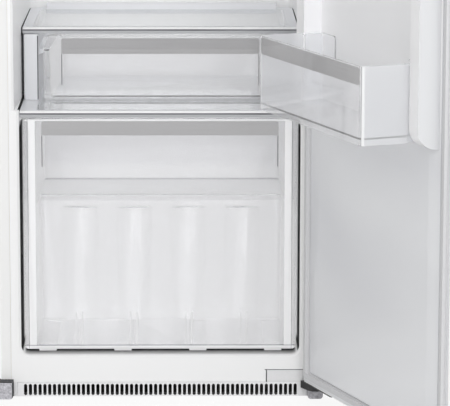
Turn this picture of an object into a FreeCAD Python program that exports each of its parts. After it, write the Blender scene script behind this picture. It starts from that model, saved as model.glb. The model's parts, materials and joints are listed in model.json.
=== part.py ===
import FreeCAD, Part
import math
import os

# Built-in larder refrigerator, door standing open to the right.
# X runs across, Y runs into the cabinet from its front plane, Z runs up from the floor. Millimetres.

V = FreeCAD.Vector
os.makedirs("parts", exist_ok=True)

# Overall sizes of the cabinet; its side flanges stand out to cover the edges of the kitchen carcass
cabinet_width = 541.0
cabinet_height = 1772.0
cabinet_depth = 495.0
flange_overhang = 8.5
overrun = 5.0
smallest_arc = 3.9
tube_sides = 8
pipe_sides = 6
foot_sides = 12

# Door
door_open_angle = 111.4
door_thickness = 42.0
door_gap = 8.0
door_bottom_z = 32.0
door_top_margin = 30.0
pivot_inset = 9.0
pivot_depth = 24.0

# Sheet metal, moulded walls and fits
sheet_wall = 0.8
liner_wall = 1.5
clear_wall = 2.4
seat_gap = 0.3
slide_gap = 1.0

# Inside of the cabinet
flange_face = 17.5
border_width = 9.5
waist_taper = 6.5
rear_taper = 1.0
recess_inset = 8.6
flare_depth = 135.0
mouth_ease = 4.0
liner_back_room = 57.0
machine_room_depth = 195.0
step_foam = 38.0
ceiling_margin = 45.0
recess_floor_z = 75.0
recess_corner = 15.0
split_z = 507.5
step_top_z = 302.0

body_half = cabinet_width / 2
flange_half = body_half + flange_overhang
seam_half = flange_half - flange_face
mouth_half = seam_half - border_width
waist_half = mouth_half - waist_taper
rear_half = waist_half - rear_taper
recess_half = mouth_half - recess_inset
liner_depth = cabinet_depth - liner_back_room
machine_room_front_y = cabinet_depth - machine_room_depth
step_front_y = machine_room_front_y - step_foam
ceiling_z = cabinet_height - ceiling_margin
door_top_z = cabinet_height - door_top_margin
door_back_y = -door_gap
door_front_y = -door_gap - door_thickness
pivot = V(flange_half - pivot_inset, -pivot_depth, 0)
across = V(1, 0, 0)
inward = V(0, 1, 0)
upward = V(0, 0, 1)


def box(x0, x1, y0, y1, z0, z1):
    return Part.makeBox(x1 - x0, y1 - y0, z1 - z0, V(x0, y0, z0))


def plan(z):
    return lambda a, b: V(a, b, z)


def elevation(y):
    return lambda a, b: V(a, y, b)


def side(x):
    return lambda a, b: V(x, a, b)


def rounded_wire(corners, place):
    """A closed outline through corners (a, b, radius): large radii are arcs, small ones are flats."""
    edges = []
    ends = []
    count = len(corners)
    for i, (a, b, radius) in enumerate(corners):
        here = V(a, b, 0)
        before = V(*corners[i - 1][:2], 0) - here
        after = V(*corners[(i + 1) % count][:2], 0) - here
        if radius:
            half_turn = before.getAngle(after) / 2
            before.normalize()
            after.normalize()
            reach = radius / math.tan(half_turn)
            middle = before + after
            middle.normalize()
            bulge = radius / math.sin(half_turn) - radius
            points = [here + before * reach, here + middle * bulge, here + after * reach]
            points = [place(p.x, p.y) for p in points]
            small = radius < smallest_arc
            edge = Part.makeLine(points[0], points[2]) if small else Part.Arc(*points).toShape()
            edges.append((i, edge))
            ends.append((points[0], points[2]))
        else:
            edges.append((i, None))
            ends.append((place(a, b), place(a, b)))
    chain = []
    for i, arc in edges:
        if arc:
            chain.append(arc)
        start = ends[i][1]
        stop = ends[(i + 1) % count][0]
        if start.distanceToPoint(stop) > 0:
            chain.append(Part.makeLine(start, stop))
    return Part.Wire(chain)


def prism(corners, place, along):
    return Part.Face(rounded_wire(corners, place)).extrude(along)


def loft(lower, lower_place, upper, upper_place):
    return Part.makeLoft([rounded_wire(lower, lower_place), rounded_wire(upper, upper_place)], True, True)


def rectangle(a0, a1, b0, b1, radius=0):
    return [(a0, b0, radius), (a1, b0, radius), (a1, b1, radius), (a0, b1, radius)]


def ring_of_sides(radius, sides, centre, first, second):
    """A closed outline with a few flat sides, in the plane of two unit directions."""
    points = []
    for i in range(sides + 1):
        angle = 2 * math.pi * (i % sides + 0.5) / sides
        points.append(centre + first * (radius * math.cos(angle)) + second * (radius * math.sin(angle)))
    return Part.makePolygon(points)


def sheet(points, thickness):
    """The closed outline of a folded sheet: the given fold line and its copy offset to the left."""
    path = [V(a, b, 0) for a, b in points]
    normals = []
    for p, q in zip(path, path[1:]):
        run = q - p
        run.normalize()
        normals.append(V(-run.y, run.x, 0))
    inner = []
    for i, p in enumerate(path):
        one = normals[max(i - 1, 0)]
        two = normals[min(i, len(normals) - 1)]
        mitre = (one + two) / (1 + one.dot(two))
        inner.append(p + mitre * thickness)
    return [(p.x, p.y, 0) for p in path + inner[::-1]]


def fuse(shapes):
    shapes = list(shapes)
    return shapes[0].multiFuse(shapes[1:]).removeSplitter()


def mirrored(shape):
    return shape.mirror(V(0, 0, 0), across)


def swung(shape):
    """Door pieces are drawn closed, then turned about the hinge line to where the door stands."""
    turned = shape.copy()
    turned.rotate(pivot, upward, door_open_angle)
    return turned


def keep(name, shape):
    shape.exportStep("parts/" + name + ".step")


# Outer casing of the cabinet: painted steel sides with a covering flange, top, back and base tray
base_z = 5.0
flange_turn = 6.0
block_height = 31.0
block_height_room = block_height + seat_gap
back_start_z = 265.0
tray_wall = 1.2
tray_front_y = 6.0
tray_rim = 16.0
casing_setback = 25.0
casing_back_y = cabinet_depth - casing_setback
casing_top_z = cabinet_height - sheet_wall


def side_panel():
    fold = [
        (body_half, cabinet_depth - sheet_wall),
        (body_half, flange_turn),
        (flange_half, flange_turn),
        (flange_half, 0),
        (seam_half, 0),
    ]
    outline = sheet(fold[::-1], sheet_wall)
    panel = prism(outline, plan(base_z), upward * (casing_top_z - base_z))
    foot_room = box(seam_half - overrun, flange_half + overrun, -overrun, flange_turn, 0, block_height_room)
    return panel.cut(foot_room)


def top_panel():
    fold = [
        (0, cabinet_height - flange_face),
        (0, cabinet_height),
        (casing_back_y, cabinet_height),
    ]
    outline = sheet(fold[::-1], sheet_wall)
    narrow = prism(outline, side(-seam_half), across * 2 * seam_half)
    wide = box(-body_half, body_half, sheet_wall, casing_back_y, casing_top_z, cabinet_height)
    return narrow.fuse(wide).removeSplitter()


right_side = side_panel()
keep("side_panel_right", right_side)
keep("side_panel_left", mirrored(right_side))
keep("top_panel", top_panel())
panel_half = body_half - sheet_wall
back_front_y = casing_back_y - sheet_wall
keep("back_panel", box(-panel_half, panel_half, back_front_y, casing_back_y, back_start_z, casing_top_z))


def base_tray():
    tray_half = panel_half - seat_gap
    outer = box(-tray_half, tray_half, tray_front_y, cabinet_depth, base_z, base_z + tray_rim)
    inner_half = tray_half - tray_wall
    room = box(
        -inner_half, inner_half, tray_front_y - overrun, cabinet_depth - tray_wall, base_z + tray_wall,
        base_z + tray_rim + overrun,
    )
    return outer.cut(room)


keep("base_tray", base_tray())

# Liner: one thermoformed white sheet with the step over the compressor, shelf ledges and floor runners
border_top_z = cabinet_height - flange_face - seat_gap
border_half = seam_half - seat_gap
sill_top_z = recess_floor_z - liner_wall
rear_corner = 22.0
ledge_reach = 5.0
ledge_half = recess_half - ledge_reach
ledge_height = 9.0
ledge_tip = 3.0
ledge_root_share = 0.9
ledge_front_y = 24.0
ledge_back_y = liner_depth - rear_corner
shelf_thickness = 11.5
middle_shelf_z = 494.0
top_shelf_z = 623.0
upper_shelf_shares = (0.205, 0.405, 0.605)
upper_shelf_zs = [top_shelf_z + (ceiling_z - top_shelf_z) * share for share in upper_shelf_shares]
runner_width = 30.0
runner_height = 5.2
runner_front_y = 60.0
runner_setback = 26.0
runner_back_y = step_front_y - runner_setback
skid_shares = (-0.81, -0.27, 0.27, 0.81)
skid_xs = [recess_half * share for share in skid_shares]
sill_bottom_z = 26.2
drain_setback = 24.0
drain_hole_radius = 9.0


def cavity(grow):
    """The food compartment's hollow, grown outward by a wall everywhere but at the open front."""
    low = split_z - grow
    lip = grow + mouth_ease
    upper_plan = [
        (-mouth_half - lip, 0, 0),
        (mouth_half + lip, 0, 0),
        (mouth_half + grow, mouth_ease, 0),
        (waist_half + grow, flare_depth, 0),
        (rear_half + grow, liner_depth + grow, rear_corner + grow),
        (-rear_half - grow, liner_depth + grow, rear_corner + grow),
        (-waist_half - grow, flare_depth, 0),
        (-mouth_half - grow, mouth_ease, 0),
    ]
    upper = prism(upper_plan, plan(low), upward * (ceiling_z + grow - low))
    half = recess_half + grow
    high = split_z + overrun
    corner = recess_corner + grow
    floor = recess_floor_z - grow
    wide = half + mouth_ease
    low_lip = floor - mouth_ease
    soft = corner + mouth_ease
    recess = [(-half, floor, corner), (half, floor, corner), (half, high, 0), (-half, high, 0)]
    mouth = [(-wide, low_lip, soft), (wide, low_lip, soft), (wide, split_z, 0), (-wide, split_z, 0)]
    rim = [(-half, floor, corner), (half, floor, corner), (half, split_z, 0), (-half, split_z, 0)]
    front_part = prism(recess, elevation(0), inward * (step_front_y + grow))
    flare = loft(mouth, elevation(0), rim, elevation(mouth_ease))
    above_step = box(-half, half, 0, liner_depth + grow, step_top_z - grow, high)
    return fuse([upper, front_part, flare, above_step])


def shelf_ledge(wall_half, seat_z):
    """A rib moulded in the right wall that carries a shelf, with its underside drawn out to the wall."""
    buried = wall_half + liner_wall * ledge_root_share
    profile = [
        (ledge_half, seat_z, 0),
        (buried, seat_z, 0),
        (buried, seat_z - ledge_height, 0),
        (ledge_half, seat_z - ledge_tip, 0),
    ]
    return profile


def liner():
    """The sheet's border runs on downward as the apron that covers the sill."""
    border = box(-border_half, border_half, 0, liner_wall, sill_bottom_z, border_top_z)
    shell = fuse([cavity(liner_wall), border]).cut(cavity(0))
    ribs = []
    for shelf_z in upper_shelf_zs:
        rib = prism(shelf_ledge(rear_half, shelf_z - seat_gap), elevation(flare_depth + overrun),
                    inward * (ledge_back_y - flare_depth - overrun))
        ribs += [rib, mirrored(rib)]
    rib = prism(shelf_ledge(recess_half, middle_shelf_z - seat_gap), elevation(ledge_front_y),
                inward * (ledge_back_y - ledge_front_y))
    ribs += [rib, mirrored(rib)]
    for x in skid_xs:
        ribs.append(
            box(x - runner_width / 2, x + runner_width / 2, runner_front_y, runner_back_y,
                recess_floor_z - liner_wall / 2, recess_floor_z + runner_height)
        )
    drain_y = liner_depth - drain_setback
    drain = Part.makeCylinder(drain_hole_radius, 2 * overrun, V(0, drain_y, step_top_z - overrun))
    rooms = [drain, lower_hinge_room(liner_wall), upper_hinge_room(liner_wall)]
    rooms += [foot_notch(), mirrored(foot_notch())]
    return fuse([shell] + ribs).cut(fuse(rooms))


# Drain: a funnel-ended tube from the ledge behind the crisper down to the tray over the compressor
drain_tube_radius = 8.0
drain_wall = 1.4
drain_collar = 12.0
drain_end_z = 236.0

# Lower and upper hinge: a flush plate on the cabinet, an arm reaching forward and a pivot pin
plate_inset = 2.0
plate_width = 63.0
plate_outer_x = mouth_half - plate_inset
plate_inner_x = plate_outer_x - plate_width
plate_z = 25.8
plate_height = 21.5
plate_room = 0.7
arm_lap = 4.0
arm_inner_x = plate_outer_x - arm_lap
arm_low_z = 17.0
arm_high_z = 28.5
arm_width = 22.0
pin_radius = 3.5
pin_length = 25.0


def mirror_up(shape):
    """Copy for the upper end: the door's middle height is the mirror plane."""
    return shape.mirror(V(0, 0, (door_bottom_z + door_top_z) / 2), upward)


def hinge_plate():
    return box(plate_inner_x, plate_outer_x, 0, liner_wall, plate_z, plate_z + plate_height)


def hinge_arm():
    """Black arm on the plate's outer end, reaching forward under the door to the pin."""
    reach = arm_width / 2
    outline = [
        (arm_inner_x, 0, 0),
        (arm_inner_x, -reach / 2, 0),
        (pivot.x - reach, pivot.y - reach / 2, 0),
        (pivot.x - reach / 2, pivot.y - reach, 0),
        (pivot.x + reach / 2, pivot.y - reach, 0),
        (pivot.x + reach, pivot.y - reach / 2, 0),
        (pivot.x + reach, pivot.y + reach / 2, 0),
        (pivot.x, 0, 0),
    ]
    arm = prism(outline, plan(arm_low_z), upward * (arm_high_z - arm_low_z))
    socket = Part.makeCylinder(pin_radius, cabinet_height, V(pivot.x, pivot.y, 0), upward)
    return arm.cut(socket)


def lower_hinge_room(depth):
    top = plate_z + plate_height
    return box(plate_inner_x - plate_room, plate_outer_x + plate_room, -overrun, depth, 0, top + plate_room)


def upper_hinge_room(depth):
    return mirror_up(
        box(plate_inner_x - plate_room, plate_outer_x + plate_room, -overrun, depth,
            plate_z - plate_room, plate_z + plate_height + plate_room)
    )


def hinge_pin():
    return Part.makeCylinder(pin_radius, pin_length, V(pivot.x, pivot.y, arm_low_z), upward)


block_lap = 3.9
block_proud = 5.6
block_inner_half = seam_half - block_lap
block_outer_half = flange_half + block_proud


def foot_notch():
    """Clear corner at the foot of the front sheet, where the corner bracket stands."""
    return box(block_inner_half - seat_gap, flange_half, -overrun, step_front_y, 0, block_height_room)


keep("inner_liner", liner())
lower_plate = hinge_plate()
keep("lower_hinge_plate", lower_plate)
keep("upper_hinge_plate", mirror_up(lower_plate))
lower_arm = hinge_arm()
keep("hinge_arms", Part.makeCompound([lower_arm, mirror_up(lower_arm)]))
lower_pin = hinge_pin()
keep("hinge_pins", Part.makeCompound([lower_pin, mirror_up(lower_pin)]))

# Sill behind the liner's apron, the slotted grille below it and the brackets at the foot of the sides
sill_fold = 7.0
grille_side_gap = 10.9
grille_half = border_half - grille_side_gap
grille_bottom_z = 0.6
grille_top_gap = 0.7
grille_front_y = 1.0
grille_wall = 2.5
slot_count = 57
slot_width = 5.8
slot_margin = 10.8
slot_pitch = (2 * (grille_half - slot_margin) - slot_width) / (slot_count - 1)
slot_bottom_z = 2.2
slot_top_z = 22.4
slot_end_share = 0.62


def front_sill():
    """Angle behind the apron: it stiffens the sheet and backs the hinge plate."""
    top = sill_top_z - mouth_ease - seat_gap
    face = box(-border_half, border_half, liner_wall, 2 * liner_wall, sill_bottom_z, top)
    fold = box(-border_half, border_half, liner_wall, sill_fold, sill_bottom_z, sill_bottom_z + liner_wall)
    return fuse([face, fold]).cut(fuse([foot_notch(), mirrored(foot_notch())]))


def ventilation_grille():
    plate = box(-grille_half, grille_half, grille_front_y, grille_front_y + grille_wall, grille_bottom_z,
                sill_bottom_z - grille_top_gap)
    half = slot_width / 2
    ease = half * slot_end_share
    slots = []
    for i in range(slot_count):
        x = (i - (slot_count - 1) / 2) * slot_pitch
        outline = [
            (x - half, slot_bottom_z + ease, 0),
            (x - half + ease, slot_bottom_z, 0),
            (x + half - ease, slot_bottom_z, 0),
            (x + half, slot_bottom_z + ease, 0),
            (x + half, slot_top_z - ease, 0),
            (x + half - ease, slot_top_z, 0),
            (x - half + ease, slot_top_z, 0),
            (x - half, slot_top_z - ease, 0),
        ]
        slots.append(prism(outline, elevation(0), inward * (grille_front_y + grille_wall + overrun)))
    return plate.cut(Part.makeCompound(slots))


block_front_y = -20.0
block_corner = 6.0
block_edge = 2.0
block_rim = 3.5
block_pocket = 1.0
block_hole_radius = 2.75
hinge_clearance = 1.2


def corner_bracket(height):
    """Right-hand bracket that stands on the floor in front of the side panel and takes a floor screw."""
    ease = block_corner
    outline = [
        (block_inner_half, 0, ease),
        (block_outer_half, 0, ease),
        (block_outer_half, height, block_edge),
        (block_inner_half, height, block_edge),
    ]
    block = prism(outline, elevation(block_front_y), inward * (flange_turn - seat_gap - block_front_y))
    middle_x = (block_inner_half + block_outer_half) / 2
    hole = Part.makeCylinder(block_hole_radius, height + 2 * overrun, V(middle_x, 0, -overrun))
    pocket = box(block_inner_half + block_rim, block_outer_half - block_rim, block_front_y - overrun,
                 block_front_y + block_pocket, block_rim, height - block_rim)
    return block.cut(hole).cut(pocket)


keep("front_sill", front_sill())
keep("ventilation_grille", ventilation_grille())
keep("corner_bracket_left", mirrored(corner_bracket(block_height)))
keep("corner_bracket_right", corner_bracket(arm_low_z - hinge_clearance))

# Foamed insulation between casing and liner, open below for air and at the rear for the compressor
foam_bottom_z = 28.0
machine_room_top_z = 265.0
evaporator_side_room = 54.5
evaporator_low_z = 700.0
evaporator_top_room = 272.0
evaporator_half = rear_half - evaporator_side_room
evaporator_high_z = cabinet_height - evaporator_top_room
evaporator_wall = 1.6


def evaporator_plate():
    """Roll-bonded plate that lies against the back of the liner."""
    start = liner_depth + liner_wall
    return box(-evaporator_half, evaporator_half, start, start + evaporator_wall, evaporator_low_z,
               evaporator_high_z)


def insulation():
    block = box(-panel_half, panel_half, flange_turn + sheet_wall, casing_back_y - sheet_wall, foam_bottom_z,
                casing_top_z)
    front = box(-border_half, border_half, liner_wall, flange_turn + sheet_wall, sill_top_z, border_top_z)
    room = box(-body_half, body_half, machine_room_front_y, cabinet_depth, 0, machine_room_top_z)
    drain = Part.makeCylinder(drain_tube_radius, step_top_z, V(0, liner_depth - drain_setback, 0))
    sill_room = box(-body_half, body_half, 0, sill_fold + seat_gap, 0, sill_top_z)
    hollow = fuse([cavity(liner_wall), drain])
    return block.fuse(front).removeSplitter().cut(hollow).cut(room).cut(evaporator_plate()).cut(sill_room)


keep("insulation", insulation())


keep("evaporator_plate", evaporator_plate())


def drain_tube():
    """Collared tube with a few flat sides, its collar resting on the ledge."""
    y = liner_depth - drain_setback

    def barrel(radius, low, high):
        foot = ring_of_sides(radius, tube_sides, V(0, y, low), across, inward)
        return Part.Face(foot).extrude(upward * (high - low))

    top = step_top_z + drain_wall
    tube = fuse([barrel(drain_tube_radius, drain_end_z, top), barrel(drain_collar, step_top_z, top)])
    return tube.cut(barrel(drain_tube_radius - drain_wall, drain_end_z - overrun, top + overrun))


keep("drain_tube", drain_tube())

# Cooling machine at the rear: compressor on rubber mounts, terminal box, drip tray, dryer and condenser
compressor_x = -70.0
compressor_offset = 0.5
compressor_side_room = 23.5
compressor_y = (machine_room_front_y + cabinet_depth) / 2 + compressor_offset
compressor_radius = machine_room_depth / 2 - compressor_side_room
compressor_base_z = 30.0
compressor_height = 158.0
compressor_seam = 4.0
seam_lip = 4.0
seam_share = 0.52
dome_shares = [(0, 0), (0.7, 0.07), (0.93, 0.26), (1, 0.5)]
foot_corner_cut = 14.0
foot_reach = 24.0
foot_side_inset = 14.0
foot_half_x = compressor_radius + foot_reach
foot_half_y = compressor_radius - foot_side_inset
foot_wall = 2.5
mount_inset = 14.0
mount_radius = 10.0
mount_waist = 6.0
terminal_depth = 30.0
terminal_width = 62.0
terminal_height = 74.0
terminal_corner = 8.0
terminal_root_share = 0.62
terminal_lift = 15.0
inlet_radius = 4.5
inlet_depth = 7.2
whole_turn = 360


def compressor():
    """Domed welded can with a seam lip, standing on a pressed foot plate, with two pipe stubs."""
    r = compressor_radius
    low = compressor_base_z
    high = low + foot_wall + compressor_height
    seam = low + compressor_height * seam_share
    half_seam = compressor_seam / 2
    lower = [(r * out, low + r * up, 0) for out, up in dome_shares]
    upper = [(r * out, high - r * up, 0) for out, up in reversed(dome_shares)]
    lip = [
        (r, seam - half_seam, 0),
        (r + seam_lip, seam - half_seam, 0),
        (r + seam_lip, seam + half_seam, 0),
        (r, seam + half_seam, 0),
    ]
    can = lower + lip + upper
    can = Part.Face(rounded_wire(can, side(0))).revolve(V(0, 0, 0), upward, whole_turn)
    can.translate(V(compressor_x, compressor_y, 0))
    x0 = compressor_x - foot_half_x
    x1 = compressor_x + foot_half_x
    y0 = compressor_y - foot_half_y
    y1 = compressor_y + foot_half_y
    bevel = foot_corner_cut
    corners = [
        (x0 + bevel, y0, 0), (x1 - bevel, y0, 0), (x1, y0 + bevel, 0), (x1, y1 - bevel, 0),
        (x1 - bevel, y1, 0), (x0 + bevel, y1, 0), (x0, y1 - bevel, 0), (x0, y0 + bevel, 0),
    ]
    foot = prism(corners, plan(compressor_base_z), upward * foot_wall)
    return fuse([can, foot])


def mount_places():
    return [
        (compressor_x + sx * (foot_half_x - mount_inset), compressor_y + sy * (foot_half_y - mount_inset))
        for sx in (-1, 1)
        for sy in (-1, 1)
    ]


def rubber_mount(x, y):
    """Eight-sided rubber buffer, waisted at its middle."""
    low = V(x, y, base_z + tray_wall)
    top = V(x, y, compressor_base_z)
    middle = (low + top) / 2
    rings = [
        ring_of_sides(radius, tube_sides, place, across, inward)
        for radius, place in ((mount_radius, low), (mount_waist, middle), (mount_radius, top))
    ]
    return Part.makeLoft(rings, True, True)


def terminal_box():
    """Moulded relay cover on the right of the can, with the mains inlet opening in its end."""
    start = compressor_x + compressor_radius * terminal_root_share
    end = compressor_x + compressor_radius + terminal_depth
    low = compressor_base_z + terminal_lift
    outline = rectangle(start, end, compressor_y - terminal_width / 2, compressor_y + terminal_width / 2,
                        terminal_corner)
    cover = prism(outline, plan(low), upward * terminal_height)
    can_room = Part.makeCylinder(compressor_radius + seam_lip + seat_gap, cabinet_height,
                                 V(compressor_x, compressor_y, 0))
    cover = cover.cut(can_room)
    mouth = V(end - inlet_depth, compressor_y, low + terminal_height / 4)
    return cover.cut(Part.makeCylinder(inlet_radius, terminal_depth, mouth, across))


keep("compressor", compressor())
keep("compressor_mounts", Part.makeCompound([rubber_mount(x, y) for x, y in mount_places()]))
keep("terminal_box", terminal_box())

drip_half_x = 92.0
drip_front_gap = 18.0
drip_back_gap = 27.0
drip_wall = 1.8
drip_slope = 5.4
drip_height = 34.0
drip_corner = 22.0


def drip_tray():
    """Round-cornered pan with sloping sides that sits on the warm can."""
    low = compressor_base_z + foot_wall + compressor_height + seat_gap
    front = machine_room_front_y + drip_front_gap
    back = cabinet_depth - drip_back_gap

    def level(inset):
        half_x = drip_half_x - inset
        return rectangle(compressor_x - half_x, compressor_x + half_x, front + inset, back - inset,
                         drip_corner)

    top = plan(low + drip_height)
    outer = loft(level(drip_slope), plan(low), level(0), top)
    room = loft(level(drip_slope + drip_wall), plan(low + drip_wall), level(drip_wall), top)
    return outer.cut(room)


keep("drip_tray", drip_tray())

condenser_side_room = 65.5
condenser_half = body_half - condenser_side_room
condenser_low_z = 320.0
condenser_top_room = 132.0
condenser_high_z = cabinet_height - condenser_top_room
condenser_runs = 8
condenser_tube_radius = 2.4
condenser_wire_radius = 0.8
condenser_wires = 11
wire_sides = 4
condenser_setback = 12.0
condenser_y = cabinet_depth - condenser_setback
condenser_post_width = 16.0
bend_steps = 7


def condenser():
    """Serpentine tube behind the back panel, bent in short straight lengths, with wires and posts."""
    r = condenser_tube_radius
    pitch = (condenser_high_z - condenser_low_z) / (condenser_runs - 1)
    bend = pitch / 2
    reach = condenser_half - bend
    route = []
    for i in range(condenser_runs):
        z = condenser_low_z + i * pitch
        way = 1 if i % 2 == 0 else -1
        if i == 0:
            route.append(V(-way * reach, condenser_y, z))
        if i < condenser_runs - 1:
            for step in range(bend_steps + 1):
                turn = math.pi * step / bend_steps
                out = reach + bend * math.sin(turn)
                route.append(V(way * out, condenser_y, z + bend - bend * math.cos(turn)))
        else:
            route.append(V(way * reach, condenser_y, z))
    rings = []
    for i, place in enumerate(route):
        before = place - route[max(i - 1, 0)]
        after = route[min(i + 1, len(route) - 1)] - place
        before, after = (before if i else after), (after if i < len(route) - 1 else before)
        half_turn = before.getAngle(after) / 2
        before.normalize()
        after.normalize()
        level = inward.cross(before + after)
        level.normalize()
        rings.append(ring_of_sides(r, pipe_sides, place, inward, level / math.cos(half_turn)))
    solids = [Part.makeLoft(rings, True, True)]
    wire_y = condenser_y + r + condenser_wire_radius
    for i in range(condenser_wires):
        x = -reach + 2 * reach * i / (condenser_wires - 1)
        foot = V(x, wire_y, condenser_low_z - r)
        wire = Part.Face(ring_of_sides(condenser_wire_radius, wire_sides, foot, across, inward))
        solids.append(wire.extrude(upward * (condenser_high_z - condenser_low_z + 2 * r)))
    half = condenser_post_width / 2
    for x in (-reach / 2, reach / 2):
        for z in (condenser_low_z, condenser_high_z):
            solids.append(box(x - half, x + half, casing_back_y, condenser_y - r, z - half, z + half))
    return Part.makeCompound(solids)


keep("condenser", condenser())

dryer_radius = 8.0
dryer_length = 92.0
dryer_neck = 3.0
dryer_x = 128.0
dryer_setback = 43.0
dryer_y = cabinet_depth - dryer_setback
dryer_taper = 12.0
dryer_low_z = 62.0


def filter_dryer():
    """Copper cylinder with drawn-in ends between its two pipes."""
    z0 = dryer_low_z
    z1 = z0 + dryer_length
    levels = [
        (dryer_neck, base_z + tray_wall),
        (dryer_neck, z0),
        (dryer_radius, z0 + dryer_taper),
        (dryer_radius, z1 - dryer_taper),
        (dryer_neck, z1),
        (dryer_neck, machine_room_top_z),
    ]
    rings = [ring_of_sides(r, tube_sides, V(dryer_x, dryer_y, z), across, inward) for r, z in levels]
    return Part.makeLoft(rings, True, True)


keep("filter_dryer", filter_dryer())

# Feet: four glides under the base tray
glide_radius = 16.0
glide_inset_x = 42.0
glide_front_y = 48.0
glide_back_room = 45.0
glide_back_y = cabinet_depth - glide_back_room


def glides():
    feet = []
    for x in (-body_half + glide_inset_x, body_half - glide_inset_x):
        for y in (glide_front_y, glide_back_y):
            foot = Part.Face(ring_of_sides(glide_radius, foot_sides, V(x, y, 0), across, inward))
            feet.append(foot.extrude(upward * base_z))
    return Part.makeCompound(feet)


keep("feet", glides())

# Control housing under the ceiling with a lamp cover and two push buttons
housing_half = 128.0
housing_front_y = 62.0
housing_back_y = 236.0
housing_height = 30.0
housing_slope = 22.0
housing_corner = 3.0
button_width = 24.0
button_height = 9.0
button_depth = 8.0
button_proud = 2.2
button_travel = 1.5
button_spacing = 58.0
button_room = 0.4
lamp_half = 62.0
lamp_front_y = 128.0
lamp_back_y = 212.0
lamp_wall = 2.0


def control_housing():
    """Wedge-fronted moulded housing, its underside open for the lamp and its face for the buttons."""
    low = ceiling_z - housing_height
    profile = [
        (housing_front_y, ceiling_z - seat_gap, 0),
        (housing_front_y, low + housing_height / 3, housing_corner),
        (housing_front_y + housing_slope, low, housing_corner),
        (housing_back_y, low, housing_corner),
        (housing_back_y, ceiling_z - seat_gap, 0),
    ]
    shell = prism(profile, side(-housing_half), across * 2 * housing_half)
    lamp_room = box(-lamp_half, lamp_half, lamp_front_y, lamp_back_y, low - overrun, low + housing_height / 2)
    rooms = [lamp_room]
    for x in (-button_spacing / 2, button_spacing / 2):
        rooms.append(button_solid(x, button_room, button_travel + seat_gap))
    return shell.cut(fuse(rooms))


def button_solid(x, grow, deeper):
    z = ceiling_z - housing_height / 3
    half_x = button_width / 2 + grow
    half_z = button_height / 2 + grow
    outline = rectangle(x - half_x, x + half_x, z - half_z, z + half_z, button_height / 3)
    start = housing_front_y - button_proud
    return prism(outline, elevation(start), inward * (button_depth + deeper))


def lamp_cover():
    low = ceiling_z - housing_height
    half = lamp_half - seat_gap
    outer = prism(rectangle(-half, half, lamp_front_y + seat_gap, lamp_back_y - seat_gap, lamp_wall),
                  plan(low - lamp_wall), upward * (lamp_wall + housing_height / 3))
    inner_half = half - lamp_wall
    room = prism(rectangle(-inner_half, inner_half, lamp_front_y + seat_gap + lamp_wall,
                           lamp_back_y - seat_gap - lamp_wall),
                 plan(low), upward * housing_height)
    return outer.cut(room)


keep("control_housing", control_housing())
keep("lamp_cover", lamp_cover())
keep("button_cooling", button_solid(-button_spacing / 2, 0, 0))
keep("button_temperature", button_solid(button_spacing / 2, 0, 0))

# Glass shelves: a moulded frame with a rounded front trim and a raised rear lip, and a pane let into it
frame_side_gap = 1.5
middle_side_gap = 0.6
frame_half = rear_half - frame_side_gap
middle_frame_half = recess_half - middle_side_gap
frame_rail = 18.0
middle_frame_rail = 28.8
frame_height = 8.0
frame_corner = 20.0
trim_depth = 14.0
trim_ease = 4.0
lip_depth = 28.0
lip_height = 10.0
lip_end_room = 30.0
lip_half = frame_half - lip_end_room
pane_wall = 4.0
pane_lap = 5.0
shelf_back_gap = 6.0
shelf_back_y = liner_depth - shelf_back_gap
drawer_front_y = 140.0
middle_front_y = 9.0
shelf_setback = 6.0


def shelf_frame(low, front_y, half, rail, lip):
    """The frame's front trim runs full width; the pane sits in a rebate flush with its top."""
    top = low + shelf_thickness
    plan_outline = [
        (-half, front_y + trim_depth, 0),
        (half, front_y + trim_depth, 0),
        (half, shelf_back_y, frame_corner),
        (-half, shelf_back_y, frame_corner),
    ]
    slab = prism(plan_outline, plan(top - frame_height), upward * frame_height)
    nose = [
        (front_y, low, trim_ease / 2),
        (front_y + trim_depth, low, 0),
        (front_y + trim_depth, top, 0),
        (front_y, top, trim_ease),
    ]
    nose = prism(nose, side(-half), across * 2 * half)
    pieces = [slab, nose]
    if lip:
        rear = [
            (shelf_back_y - lip_depth, top, 0),
            (shelf_back_y, top, 0),
            (shelf_back_y, top + lip_height, trim_ease / 2),
            (shelf_back_y - lip_depth / 2, top + lip_height, trim_ease),
        ]
        pieces.append(prism(rear, side(-lip_half), across * 2 * lip_half))
    frame = fuse(pieces)
    window = pane_room(low, front_y, half, rail)
    opening = box(-half + rail + pane_lap, half - rail - pane_lap, front_y + trim_depth + pane_lap,
                  shelf_back_y - lip_depth - pane_lap, low - overrun, top + overrun)
    return frame.cut(fuse([window, opening]))


def pane_room(low, front_y, half, rail):
    top = low + shelf_thickness
    return box(-half + rail, half - rail, front_y + trim_depth, shelf_back_y - lip_depth, top - pane_wall,
               top + overrun)


def shelf_pane(low, front_y, half, rail):
    top = low + shelf_thickness
    pane_half = half - rail - seat_gap
    return box(-pane_half, pane_half, front_y + trim_depth + seat_gap, shelf_back_y - lip_depth - seat_gap,
               top - pane_wall, top)


middle_sizes = (middle_shelf_z, middle_front_y, middle_frame_half, middle_frame_rail)
keep("middle_shelf_frame", shelf_frame(*middle_sizes, False))
keep("middle_shelf_glass", shelf_pane(*middle_sizes))
keep("top_shelf_frame", shelf_frame(top_shelf_z, drawer_front_y, frame_half, frame_rail, True))
keep("top_shelf_glass", shelf_pane(top_shelf_z, drawer_front_y, frame_half, frame_rail))
for number, shelf_z in enumerate(upper_shelf_zs):
    name = "upper_shelf_" + "abc"[number]
    keep(name + "_frame", shelf_frame(shelf_z, drawer_front_y + shelf_setback, frame_half, frame_rail, True))
    keep(name + "_glass", shelf_pane(shelf_z, drawer_front_y + shelf_setback, frame_half, frame_rail))

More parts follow.
